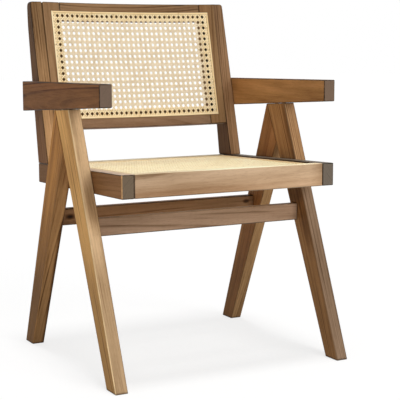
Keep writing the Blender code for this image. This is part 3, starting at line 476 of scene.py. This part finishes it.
backPanel = {
    "name": "back",
    "origin": (0.0, 0.1705, 0.5008),
    "lean": math.atan2(0.0663, 0.2892),     # by the run and the rise of the panel's side
    "reach": 0.2059,                # half width of the field that reed and cane lie in
    "low": 0.0224,
    "high": 0.2764,
    "bow": 0.0095,
    "bowReach": 0.2244,
    "firstRow": 0.0113,             # from the field's edge to the first row of holes
    "rows": 18,
}
seatPanel = {
    "name": "seat",
    "origin": (0.0, -0.21721, 0.43255),
    "lean": math.radians(91.886),   # just past level, since the seat falls to the rear
    "reach": 0.2059,
    "low": 0.0185,
    "high": 0.3801,
    "bow": 0.0,
    "bowReach": 1.0,
    "dish": 0.004,
    "window": (0.1834, 0.041, 0.3576),      # half width, front and back of the opening
    "firstRow": 0.0113,
    "rows": 26,
}

slope = {  # the way that each kind of board runs
    "frontLeg": (0.0, 0.3905, 0.9206),
    "rearLeg": (0.0, -0.3740, 0.9274),
    "post": (0.0, 0.2120, 0.9773),
    "panel": (0.0, 0.2235, 0.9747),
    "seat": (0.0, 0.9995, -0.0329),
    "level": (0.0, 1.0, 0.0),
    "wide": (1.0, 0.0, 0.0),
}


def sawn(run, face, colour, pith, **more):
    return dict(run=run, face=face, tone=colour, pith=pith, **more)


def blotch(place, size, depth, **more):
    # place and size in metres across, along and through the board; a depth under zero is paler,
    # and a straight blotch doesn't wander with the rings; some dark blotches are painted shade
    return dict(place=place, size=size, depth=depth, **more)


panelWood = {"joint": (0.003, 0.85), "rebate": backPanel}
seatWood = {"contrast": 0.45, "arris": (0.4, 0.8)}

# Each board: its run, the way its broad face looks, its tone, and where the pith lies across and through it
# the tone for the arris that looks one way is a painted highlight on the left front leg, left seat rail and
# left stile, a painted dark line on the right front and left rear legs, and a pale front face on the rear
# seat rail
boards = {
    "left_armrest": sawn("level", side, (118, 77, 41), (0.012, 0.044), edge=(92, 62, 38),
                         endTone=(102, 85, 72), climb=0.030, contrast=1.25, rings=1.8),
    "right_armrest": sawn("level", side, (165, 119, 73), (-0.030, -0.052), edge=(112, 78, 48),
                          endTone=(107, 88, 73), ends=(0.22, 0.90, 1.05), bands=0.4, clouds=1.8,
                          rings=0.3, climb=0.006),
    "left_front_leg": sawn("frontLeg", side, (198, 149, 87), (0.030, -0.075), edge=(194, 160, 120),
                           ends=(0.30, 0.63, 1.05), contrast=0.85, arris=(0.9, 0.45),
                           rubbed={"looks": (-1, 0, -1), "tone": (226, 196, 150)},
                           # the first blotch is painted shade on the front face beside the seat rail
                           mottle=(blotch((-0.041, 0.075, 0.003), (0.018, 0.085, 0.026), 0.50),
                                   blotch((-0.015, -0.005, -0.006), (0.05, 0.085, 0.03), -0.22),
                                   blotch((-0.020, 0.055, -0.014), (0.08, 0.11, 0.014), -0.22,
                                          straight=True))),
    "right_front_leg": sawn("frontLeg", side, (150, 109, 68), (-0.030, -0.035), edge=(132, 107, 84),
                            edgeHigh={"tone": (156, 119, 82), "from": 0.07, "to": 0.17},
                            ends=(0.30, 0.84, 1.18), arris=(0.9, 0.40),
                            rubbed={"looks": (-1, 0, -1), "tone": (122, 93, 66)},
                            # the first blotch is painted shade on the inner face under the seat, the third
                            # painted shade high on the inner face near the front
                            mottle=(blotch((0.0, 0.090, -0.014), (0.06, 0.055, 0.03), 0.55),
                                    blotch((-0.019, 0.005, -0.016), (0.034, 0.13, 0.008), 0.80),
                                    blotch((-0.036, 0.20, -0.015), (0.030, 0.13, 0.007), 0.45, straight=True),
                                    blotch((-0.030, -0.16, 0.018), (0.05, 0.24, 0.011), 0.45))),
    "left_rear_leg": sawn("rearLeg", side, (158, 109, 54), (0.030, 0.030), edge=(158, 117, 74),
                          ends=(0.30, 0.41, 1.28), climb=0.008, contrast=1.15, arris=(0.8, 0.40),
                          rubbed={"looks": (-1, 0, -1), "tone": (140, 102, 62)},
                          mottle=[blotch((-0.030, -0.10, 0.014), (0.30, 0.36, 0.0095), 0.75, straight=True)]),
    "right_rear_leg": sawn("rearLeg", side, (128, 90, 54), (0.035, 0.060), edge=(138, 106, 70),
                           ends=(0.30, 0.88, 1.40), contrast=1.25, arris=(0.5, 0.45)),
    "left_seat_rail": sawn("seat", side, (142, 100, 62), (0.060, 0.070), edge=(206, 182, 160),
                           endTone=(101, 87, 71), ends=(0.20, 1.0, 0.60), rings=0.5, contrast=0.6,
                           rubbed={"looks": (0, -1, -1), "tone": (206, 160, 110)}, joint=(0.004, 0.75)),
    "right_seat_rail": sawn("seat", side, (92, 70, 50), (-0.055, 0.070), edge=(100, 88, 74),
                            endTone=(101, 91, 80), joint=(0.006, 0.20)),
    "front_seat_rail": sawn("wide", front, (174, 147, 117), (0.022, 0.080), edge=(240, 218, 180),
                            ends=(0.24, 0.84, 1.06), arris=(0.8, 0.5), upperArris=0.0, contrast=0.85,
                            joint=(0.006, 0.20),
                            mottle=(blotch((-0.024, -0.130, 0.0), (0.026, 0.26, 0.06), 0.42),
                                    blotch((0.0, 0.0, -0.012), (0.09, 0.16, 0.05), -0.20),
                                    blotch((0.0, 0.255, 0.0), (0.09, 0.070, 0.07), 0.60))),
    "rear_seat_rail": sawn("wide", front, (132, 98, 66), (0.040, 0.060), edge=(226, 210, 178),
                           arris=(0.0, 1.0), rubbed={"looks": (0.35, 0, -1), "tone": (228, 210, 176)}),
    "front_stretcher": sawn("wide", front, (148, 120, 96), (-0.030, 0.060), ends=(0.26, 0.88, 1.08),
                            upperArris=0.0, contrast=0.7),
    "rear_stretcher": sawn("wide", front, (128, 97, 68), (0.035, 0.055),
                           mottle=(blotch((0.002, -0.226, -0.011), (0.008, 0.015, 0.02), 1.2, eye=0.9),
                                   blotch((0.006, 0.232, -0.011), (0.008, 0.013, 0.02), 0.9, eye=0.6))),
    "left_back_post": sawn("post", side, (106, 75, 46), (0.040, 0.055), edge=(150, 115, 78),
                           ends=(0.19, 1.30, 0.66), joint=(0.003, 1.0)),
    "right_back_post": sawn("post", side, (86, 61, 38), (-0.045, 0.055), edge=(134, 102, 72),
                            ends=(0.19, 1.22, 0.80)),
    "back_panel_left_stile": sawn("panel", front, (136, 107, 76), (0.050, 0.070), ends=(0.14, 1.25, 0.78),
                                  rubbed={"looks": (1, 0, -1), "tone": (166, 132, 94)}, **panelWood),
    # the right stile's ledge takes a deeper painted shade
    "back_panel_right_stile": sawn("panel", front, (121, 92, 61), (-0.050, 0.070),
                                   rebateTone=(34, 24, 14), **panelWood),
    "back_panel_top_rail": sawn("wide", front, (129, 99, 69), (0.045, 0.065), **panelWood),
    "back_panel_bottom_rail": sawn("wide", front, (133, 109, 86), (-0.045, 0.065), **panelWood),
    "seat_frame_left_stile": sawn("seat", top, (228, 203, 158), (0.050, 0.060), **seatWood),
    "seat_frame_right_stile": sawn("seat", top, (226, 200, 154), (-0.050, 0.060), **seatWood),
    "seat_frame_front_rail": sawn("wide", top, (230, 206, 160), (0.050, 0.060), **seatWood),
    "seat_frame_rear_rail": sawn("wide", top, (224, 198, 152), (-0.050, 0.060), **seatWood),
}
smallWood = {
    "corner_block": {"tone": (172, 142, 104), "pith": (0.020, 0.050), "endTone": (140, 120, 96)},
    "dowel": {"tone": (204, 178, 136), "pith": (0.015, 0.030), "endTone": (170, 150, 120)},
}


def pieceMiddle(name):
    low, high = (Vector(end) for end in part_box(name))
    return (low + high) / 2


def longestWay(name):
    low, high = (Vector(end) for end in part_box(name))
    reach = high - low
    return tuple(1.0 if part == max(reach) else 0.0 for part in reach)


def finishWood(name, number, along, face, board):
    material = woodMaterial(name + "_wood", pieceMiddle(name), along, face, dict(board, number=number))
    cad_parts[name].material_slots[0].material = material


def finishBoards():
    for number, (name, board) in enumerate(boards.items(), start=1):
        finishWood(name, number, slope[board["run"]], board["face"], board)


def finishSmallWood():  # glued blocks and dowels, which only show from below or in a taken-apart view
    names = [name for name in sorted(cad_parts) if "dowel" in name or "block" in name]
    for number, name in enumerate(names, start=len(boards) + 1):
        kind = "dowel" if "dowel" in name else "corner_block"
        along = longestWay(name) if kind == "dowel" else side
        finishWood(name, number, along, top if along != top else side, smallWood[kind])


finishBoards()
finishSmallWood()
print("armchair: boards, blocks and dowels finished")


# Bolts: zinc-plated steel, a little dull, with fine turning marks

zinc = {
    "dull": (150, 152, 156),
    "light": (196, 198, 200),
    "stops": (0.30, 0.70),
    "patch": ((420.0, 420.0, 420.0), 3.0, 0.6),
    "turning": ((300.0, 5200.0, 5200.0), 2.0, 0.5),     # fine round the bolt, which lies across the chair
    "jointReach": 0.003,
    "jointDark": 0.35,
    "roughness": (0.22, 0.22),      # how much it varies, and the least
    "bump": {"strength": 0.25, "distance": 0.0001},
    "fixed": {"Metallic": 1.0},
}


def zincMaterial():
    material, tree = newMaterial("zincPlate")
    inChair = objectPlace(tree)
    patch = fleck(tree, inChair, *zinc["patch"])
    turning = fleck(tree, inChair, *zinc["turning"])
    stops = [(stop, tone(*zinc[kind])) for stop, kind in zip(zinc["stops"], ("dull", "light"))]
    # painted shade close into the joints of the bolt
    shade = jointShade(tree, openness(tree, zinc["jointReach"]), zinc["jointDark"])
    colour = darken(tree, shades(tree, patch, stops), shade)
    roughness = calc(tree, "MULTIPLY_ADD", patch, *zinc["roughness"])
    finishSurface(tree, colour, roughness, turning, zinc["bump"], zinc["fixed"])
    return material


zincPlate = zincMaterial()
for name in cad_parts:
    if "bolt" in name:
        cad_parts[name].material_slots[0].material = zincPlate
print("armchair: bolts finished")


# Cane and reed: each strand has its own tone, with fibres along it and a shinier skin

caneFinish = {
    "light": (250, 232, 190),
    "middle": (240, 214, 164),
    "warm": (222, 187, 128),
    "openLight": (234, 217, 184),   # painted light: strands over the open field are greyer, lit through from behind, and those over the ledge yellower, lit by light off the wood
    "openMiddle": (220, 198, 158),
    "openWarm": (200, 174, 129),
    "stops": (0.10, 0.52, 0.95),
    "ownShare": 0.50,               # how much the tone varies from strand to strand, and along each
    "patchShare": 0.55,
    "patch": ((17.0, 0.8, 1.0), 2.0, 0.5),
    "fibresAlong": 38.0,
    "fibresAcross": 9.0,
    "fibreDetail": (3.0, 0.65),
    "fibreEase": (0.54, 0.80, 0.0, 0.55),
    "fibreDark": (196, 156, 98),
    "apart": 0.731,                 # how far one strand lies from the next in the noise
    "knotEvery": 0.23,              # metres along a strand between the marks of two leaf joints
    "knotComes": (0.0, 0.012),
    "knotGoes": (0.012, 0.030, 1.0, 0.0),
    "knotShare": 0.55,
    "knotDark": (168, 124, 72),
    # painted shade where strands cross and run in under the reed
    "jointReach": 0.0016,
    "jointDark": 0.50,
    "roughness": 0.36,
    "fibreRoughness": 0.20,
    "bump": {"strength": 0.45, "distance": 0.00008},
    "fixed": {"Specular IOR Level": 0.45, "Coat Weight": 0.20, "Coat Roughness": 0.30},
}
seatFinish = dict(caneFinish, light=(255, 248, 212), middle=(255, 240, 194), warm=(246, 224, 174),
                  openLight=(255, 248, 214), openMiddle=(255, 240, 197), openWarm=(246, 225, 177),
                  fibreDark=(222, 192, 142), jointDark=0.97,
                  rearShadeTone=(244, 239, 234), rearShadeReach=(0.02, 0.11))
reedFinish = dict(caneFinish, light=(240, 220, 178), middle=(229, 202, 151), warm=(216, 182, 127),
                  fibresAcross=14.0, jointReach=0.0020, jointDark=0.45, roughness=0.40,
                  bump={"strength": 0.40, "distance": 0.00010})


def strandMaterial(name, finish):
    material, tree = newMaterial(name)
    run = tree.nodes.new("ShaderNodeUVMap")
    run.uv_map = "run"                     # metres along, and strand number plus the share across
    parts = tree.nodes.new("ShaderNodeSeparateXYZ")
    put(parts.inputs[0], run.outputs[0])
    along, numbered = parts.outputs[0], parts.outputs[1]
    number = calc(tree, "FLOOR", numbered)
    across = calc(tree, "FRACT", numbered)
    own = ownRandom(tree, number)
    spot = joined(tree, along, across, calc(tree, "MULTIPLY", number, finish["apart"]))
    fibres = (finish["fibresAlong"], finish["fibresAcross"], 1.0)
    lines = fleck(tree, spot, fibres, *finish["fibreDetail"])
    patch = calc(tree, "MULTIPLY", fleck(tree, spot, *finish["patch"]), finish["patchShare"])
    base = calc(tree, "MULTIPLY_ADD", own, finish["ownShare"], patch)

    def toned(*kinds):
        return shades(tree, base, [(stop, tone(*finish[kind])) for stop, kind in zip(finish["stops"], kinds)])

    # painted light: each strand is yellower over the ledge and greyer over the open field
    field = tree.nodes.new("ShaderNodeAttribute")
    field.attribute_name = "openField"
    colour = blend(tree, "MIX", field.outputs["Fac"], toned("light", "middle", "warm"),
                   toned("openLight", "openMiddle", "openWarm"))
    colour = blend(tree, "MIX", rise(tree, lines, *finish["fibreEase"]), colour, tone(*finish["fibreDark"]))
    step = calc(tree, "FRACT", calc(tree, "ADD", calc(tree, "DIVIDE", along, finish["knotEvery"]), own))
    comes, goes = (rise(tree, step, *finish[kind]) for kind in ("knotComes", "knotGoes"))
    mark = calc(tree, "MULTIPLY", calc(tree, "MULTIPLY", comes, goes), finish["knotShare"])
    colour = blend(tree, "MIX", mark, colour, tone(*finish["knotDark"]))
    # painted shade where strands cross each other and meet the reed
    colour = darken(tree, colour, jointShade(tree, openness(tree, finish["jointReach"]), finish["jointDark"]))
    if "rearShadeTone" in finish:                    # painted shade: a little deeper towards the back of the seat, under the chair's back
        rearward = shift(tree, "DOT_PRODUCT", objectPlace(tree), front)
        rearward = rise(tree, rearward, *finish["rearShadeReach"])
        colour = blend(tree, "MULTIPLY", rearward, colour, tone(*finish["rearShadeTone"]))
    smooth = finish["roughness"] - finish["fibreRoughness"] / 2
    roughness = calc(tree, "MULTIPLY_ADD", lines, finish["fibreRoughness"], smooth)
    finishSurface(tree, colour, roughness, lines, finish["bump"], finish["fixed"])
    return material


caneSkins = {
    "back": strandMaterial("backCaneSkin", caneFinish),
    "seat": strandMaterial("seatCaneSkin", seatFinish),
}
reedSkin = strandMaterial("reedSkin", reedFinish)

weave = {
    "columnPitch": 0.0127,          # half an inch, the usual spacing
    "columns": 31,
    "pairShift": 0.00155,
    "strandWidth": 0.00212,
    "crossWidth": 0.00255,
    "thickness": 0.00056,
    "pairWave": 0.00028,
    "crossWave": 0.00050,
    "sheetDepth": 0.00082,          # middle of the weave below the frame's face
    "underReed": 0.00015,
    "section": ((-0.50, -0.36), (0.50, -0.36), (0.43, 0.14), (0.0, 0.50), (-0.43, 0.14)),
    "faceShare": (0.02, 0.98),      # keeps a face's map clear of the next strand's number
    "pairLevel": 0.30,              # share of the pitch from a crossing where a pair's strand is level
    "overhang": 0.2,                # share of a strand's width that may lie past its end line
    "shortest": 0.35,               # slanting strands of fewer columns are left out
    "crossStations": (-0.19, -0.09, 0.09, 0.19),    # columns from each crossing of a slanting strand
    "endGap": 0.02,
    "crossFlat": -1.5,              # past 1 either way, a slanting strand lies flat over a pair
    "seed": 7,
    "unevenPlace": 0.00012,
    "unevenWidth": 0.06,
    "rimEnd": 0.016,                # where the strands leave the ledge, from the field's edge
    "rimEase": 0.012,
}
reedShape = {
    "width": 0.0045,
    "clear": 0.0003,
    "section": (                    # share across, and depth in millimetres
        (0.00, 3.9), (0.00, 0.2), (0.05, -0.2), (0.18, -0.55), (0.34, -0.74), (0.50, -0.80),
        (0.66, -0.74), (0.82, -0.55), (0.95, -0.2), (1.00, 0.2), (1.00, 3.9),
    ),
    "step": 0.008,
    "sharpAngle": 40.0,
}


def panelToWorld(panel, x, depth, z):  # a point of a panel's own plane, bowed or dished, in the chair's frame
    dropped = depth + panel["bow"] * (1 - (x / panel["bowReach"]) ** 2)
    if "dish" in panel:
        reach, low, high = panel["window"]
        across = np.clip(np.abs(x) / reach, 0, 1)
        along = np.clip(np.abs(z - (low + high) / 2) / ((high - low) / 2), 0, 1)
        dropped = dropped + panel["dish"] * (1 - across ** 2) * (1 - along ** 2)
    lean = panel["lean"]
    y = panel["origin"][1] + dropped * math.cos(lean) + z * math.sin(lean)
    up = panel["origin"][2] - dropped * math.sin(lean) + z * math.cos(lean)
    return np.stack([x, y, up], -1)


def rowPlaces(panel):  # first row of holes and the pitch of the rows
    first = panel["low"] + panel["firstRow"]
    return first, (panel["high"] - panel["firstRow"] - first) / (panel["rows"] - 1)


def strandEnds(panel):  # where the strands run in under the reed
    inset = reedShape["clear"] + reedShape["width"] - weave["underReed"]
    return panel["reach"] - inset, panel["low"] + inset, panel["high"] - inset


def pairPath(start, end, first, pitch, turn):
    # stations along a strand of a pair, and its height: over one of each crossing pair and under the other
    nudge = weave["pairShift"] / pitch
    level = weave["pairLevel"]
    stations = []
    for crossing in range(-2, int((end - start) / pitch) + 3):
        for place, height in ((-level, 0.0), (-nudge, 1.0), (0.0, 0.0), (nudge, -1.0), (level, 0.0)):
            stations.append((first + (crossing + 0.5 + place) * pitch, turn * height * weave["pairWave"]))
    stations = [s for s in stations if start < s[0] < end]
    places = np.array([start] + [s[0] for s in stations] + [end])
    heights = np.array([stations[0][1]] + [s[1] for s in stations] + [stations[-1][1]])
    return places, heights


def slantPath(start, end):  # stations in columns along a slanting strand, and its height
    stops = [k / 2 + place for k in range(math.floor(start * 2) - 1, math.ceil(end * 2) + 2)
             for place in weave["crossStations"]]
    gap = weave["endGap"]
    column = np.array([start] + [s for s in sorted(stops) if start + gap < s < end - gap] + [end])
    wave = np.clip(weave["crossFlat"] * np.cos(2 * math.pi * column), -1, 1)
    return column, weave["crossWave"] * np.sin(math.pi / 2 * wave)


def weavePaths(panel):
    # every strand as x, z, height and width, sorted into uprights, crossbars and slanting strands
    reach, low, high = strandEnds(panel)
    wide = weave["columnPitch"]
    firstColumn = -wide * (weave["columns"] - 1) / 2
    firstRow, tall = rowPlaces(panel)
    overhang = weave["strandWidth"] * weave["overhang"]
    uneven = np.random.default_rng(weave["seed"])
    paths = {"uprights": [], "crossbars": [], "slants": []}

    def keep(kind, x, z, height, width):
        paths[kind].append((x, z, height, width * (1 + weave["unevenWidth"] * uneven.uniform(-1, 1))))

    for column in range(-1, weave["columns"]):
        for turn in (-1, 1):
            x = firstColumn + (column + 0.5) * wide + turn * weave["pairShift"]
            x += weave["unevenPlace"] * uneven.uniform(-1, 1)
            if abs(x) < reach - overhang:
                z, height = pairPath(low, high, firstRow, tall, turn)
                keep("uprights", np.full_like(z, x), z, height, weave["strandWidth"])
    for row in range(-1, panel["rows"]):
        for turn in (-1, 1):
            z = firstRow + (row + 0.5) * tall + turn * weave["pairShift"]
            z += weave["unevenPlace"] * uneven.uniform(-1, 1)
            if low + overhang < z < high - overhang:
                x, height = pairPath(-reach, reach, firstColumn, wide, -turn)
                keep("crossbars", x, np.full_like(x, z), height, weave["strandWidth"])

    # slanting strands, over the uprights and under the crossbars one way, and the other way round
    left, right = (-reach - firstColumn) / wide, (reach - firstColumn) / wide
    bottom, ceiling = (low - firstRow) / tall, (high - firstRow) / tall
    for way in (-1, 1):
        span = (left + bottom, right + ceiling) if way == 1 else (left - ceiling, right - bottom)
        for line in range(math.floor(span[0]) - 1, math.ceil(span[1]) + 1):
            total = line + 0.5                      # column + way * row is constant along the strand
            start = max(left, total - way * (ceiling if way == 1 else bottom))
            end = min(right, total - way * (bottom if way == 1 else ceiling))
            if end - start >= weave["shortest"]:
                column, height = slantPath(start, end)
                z = firstRow + way * (total - column) * tall
                keep("slants", firstColumn + column * wide, z, way * height, weave["crossWidth"])
    return paths


def openShare(panel, x, z):  # 0 over the frame's ledge and 1 over the opening
    rim = np.minimum(panel["reach"] - np.abs(x), np.minimum(z - panel["low"], panel["high"] - z))
    return np.clip((rim - weave["rimEnd"]) / weave["rimEase"], 0, 1).astype(np.float32)


def mappedPiece(name, corners, faces, runs, material):  # a new piece, mapped by metres along and share across
    mesh = bpy.data.meshes.new(name)
    mesh.from_pydata(np.concatenate(corners).tolist(), [], faces)
    layer = mesh.uv_layers.new(name="run")
    layer.uv.foreach_set("vector", np.array(runs, dtype=np.float32).ravel())
    mesh.polygons.foreach_set("use_smooth", [len(face) == 4 for face in faces])
    mesh.materials.append(material)
    piece = bpy.data.objects.new(name, mesh)
    bpy.context.scene.collection.objects.link(piece)
    return piece


def strandMesh(name, paths, panel, firstNumber):  # closed strands of a flat-bottomed, crowned section
    section = weave["section"]
    ring = len(section)
    corners, faces, runs, opened = [], [], [], []
    offset = 0
    for number, (x, z, height, width) in enumerate(paths, start=firstNumber):
        dx, dz = np.gradient(x), np.gradient(z)
        length = np.hypot(dx, dz)
        sideX, sideZ = dz / length, -dx / length
        gone = np.concatenate([[0.0], np.cumsum(np.hypot(np.diff(x), np.diff(z)))])
        rings = []
        for across, up in section:
            depth = weave["sheetDepth"] - height - up * weave["thickness"]
            rings.append(panelToWorld(panel, x + sideX * across * width, depth, z + sideZ * across * width))
        corners.append(np.stack(rings, 1).reshape(-1, 3))
        opened.append(np.repeat(openShare(panel, x, z), ring))
        last = len(x) - 1
        for at in range(last):
            base = offset + at * ring
            for k in range(ring):
                other = (k + 1) % ring
                faces.append((base + k, base + other, base + ring + other, base + ring + k))
                low, high = (number + (k + share) / ring for share in weave["faceShare"])
                runs += [(gone[at], low), (gone[at], high), (gone[at + 1], high), (gone[at + 1], low)]
        for at, order in ((0, range(ring - 1, -1, -1)), (last, range(ring))):
            faces.append(tuple(offset + at * ring + k for k in order))
            runs += [(gone[at], number + (k + 0.5) / ring) for k in order]
        offset += len(x) * ring
    piece = mappedPiece(name, corners, faces, runs, caneSkins[panel["name"]])
    field = piece.data.attributes.new("openField", "FLOAT", "POINT")
    field.data.foreach_set("value", np.concatenate(opened))
    piece.data.update()
    return piece


def makeWeave(panel):
    firstNumber = 1
    for kind, paths in weavePaths(panel).items():
        piece = strandMesh(panel["name"] + "_cane_" + kind, paths, panel, firstNumber)
        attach(piece, "root")
        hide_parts(panel["name"] + "_cane")
        firstNumber += len(paths)
        print("armchair:", piece.name, len(paths), "strands,", len(piece.data.polygons), "faces")


def makeReed(panel):  # a ring with mitred corners, its crown bowed with the frame
    clear, width, step = reedShape["clear"], reedShape["width"], reedShape["step"]
    section = reedShape["section"]
    wide, tall = 2 * panel["reach"], panel["high"] - panel["low"]
    sides = [round(size / step) for size in (wide, tall, wide, tall)]
    corners, runs, faces = [], [], []
    for share, depth in section:
        inset = clear + share * width
        x0, x1 = -panel["reach"] + inset, panel["reach"] - inset
        z0, z1 = panel["low"] + inset, panel["high"] - inset
        ends = ((x0, z0), (x1, z0), (x1, z1), (x0, z1))
        places = []
        for k, steps in enumerate(sides):
            (xa, za), (xb, zb) = ends[k], ends[(k + 1) % 4]
            places += [(xa + (xb - xa) * s / steps, za + (zb - za) * s / steps) for s in range(steps)]
        x, z = np.array(places).T
        corners.append(panelToWorld(panel, x, depth / 1000, z))
    around = sum(sides)
    numbers = [number for number, steps in enumerate(sides, start=1) for _ in range(steps)]
    rings = len(section)
    for r in range(rings):
        ring, nextRing = r * around, (r + 1) % rings * around
        for s, number in enumerate(numbers):
            nextStep = (s + 1) % around
            faces.append((ring + s, ring + nextStep, nextRing + nextStep, nextRing + s))
            a, b = s * step, (s + 1) * step
            low, high = number + r / rings, number + (r + weave["faceShare"][1]) / rings
            runs += [(a, low), (b, low), (b, high), (a, high)]
    piece = mappedPiece(panel["name"] + "_reed_ring", corners, faces, runs, reedSkin)
    piece.data.set_sharp_from_angle(angle=math.radians(reedShape["sharpAngle"]))
    piece.data.update()
    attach(piece, "root")
    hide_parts(panel["name"] + "_reed")


for panel in (backPanel, seatPanel):
    makeWeave(panel)
    makeReed(panel)
print("armchair: cane woven and reed laid")


# Studio: a pale floor that keeps the shadow, an even white room and two broad lamps

studio = {
    "floorSize": 40.0,
    "floorDrop": 0.0002,
    "floorBounce": (232, 232, 232),
    "shadowShare": 0.27,
    "floorGlow": 0.73,
    "roomLight": 0.46,
    "lampDistance": 3.0,
    "lamps": {                      # turn from the front, height and softness are in degrees
        "keyLight": {"turn": 12.0, "height": 18.0, "strength": 1.50, "softness": 40.0},
        "topLight": {"turn": 0.0, "height": 88.0, "strength": 1.45, "softness": 13.0},
    },
}


def seenDirectly(tree):  # 1 where the camera, or metal or glass in front of it, looks at the backdrop
    path = tree.nodes.new("ShaderNodeLightPath")
    seen = calc(tree, "MAXIMUM", path.outputs["Is Camera Ray"], path.outputs["Is Glossy Ray"])
    return calc(tree, "MAXIMUM", seen, path.outputs["Is Transmission Ray"])


def makeFloor():
    half = studio["floorSize"] / 2
    ends = [(-half, -half, 0), (half, -half, 0), (half, half, 0), (-half, half, 0)]
    mesh = bpy.data.meshes.new("studioFloor")
    mesh.from_pydata(ends, [], [(0, 1, 2, 3)])
    floor = bpy.data.objects.new("studioFloor", mesh)
    floor.location = (0.0, 0.0, -studio["floorDrop"])
    bpy.context.scene.collection.objects.link(floor)
    material, tree = newMaterial("paleFloor")
    bounce = tree.nodes.new("ShaderNodeBsdfDiffuse")
    bounce.inputs["Color"].default_value = tone(*studio["floorBounce"])
    shadow = tree.nodes.new("ShaderNodeBsdfDiffuse")
    shadow.inputs["Color"].default_value = (studio["shadowShare"],) * 3 + (1.0,)
    glow = tree.nodes.new("ShaderNodeEmission")
    glow.inputs["Strength"].default_value = studio["floorGlow"]
    both = tree.nodes.new("ShaderNodeAddShader")
    put(both.inputs[0], shadow.outputs[0])
    put(both.inputs[1], glow.outputs[0])
    chosen = tree.nodes.new("ShaderNodeMixShader")
    put(chosen.inputs[0], seenDirectly(tree))
    put(chosen.inputs[1], bounce.outputs[0])
    put(chosen.inputs[2], both.outputs[0])
    out = tree.nodes.new("ShaderNodeOutputMaterial")
    put(out.inputs["Surface"], chosen.outputs[0])
    mesh.materials.append(material)


def makeRoom():
    world = bpy.data.worlds.new("studioRoom")
    bpy.context.scene.world = world
    world.use_nodes = True
    tree = world.node_tree
    back = tree.nodes["Background"]
    back.inputs["Color"].default_value = (1.0, 1.0, 1.0, 1.0)
    strength = calc(tree, "MULTIPLY_ADD", seenDirectly(tree), 1.0 - studio["roomLight"], studio["roomLight"])
    put(back.inputs["Strength"], strength)


def makeLamps():
    for name, lamp in studio["lamps"].items():
        light = bpy.data.lights.new(name, "SUN")
        light.energy = lamp["strength"]
        light.angle = math.radians(lamp["softness"])
        turn, height = math.radians(lamp["turn"]), math.radians(lamp["height"])
        far = studio["lampDistance"]
        place = Vector((far * math.sin(turn) * math.cos(height), -far * math.cos(turn) * math.cos(height),
                        far * math.sin(height)))
        holder = bpy.data.objects.new(name, light)
        holder.location = place
        holder.rotation_euler = (-place).to_track_quat("-Z", "Y").to_euler()
        bpy.context.scene.collection.objects.link(holder)


makeFloor()
makeRoom()
makeLamps()
bpy.context.scene.view_settings.view_transform = "Standard"
print("armchair: studio lit")
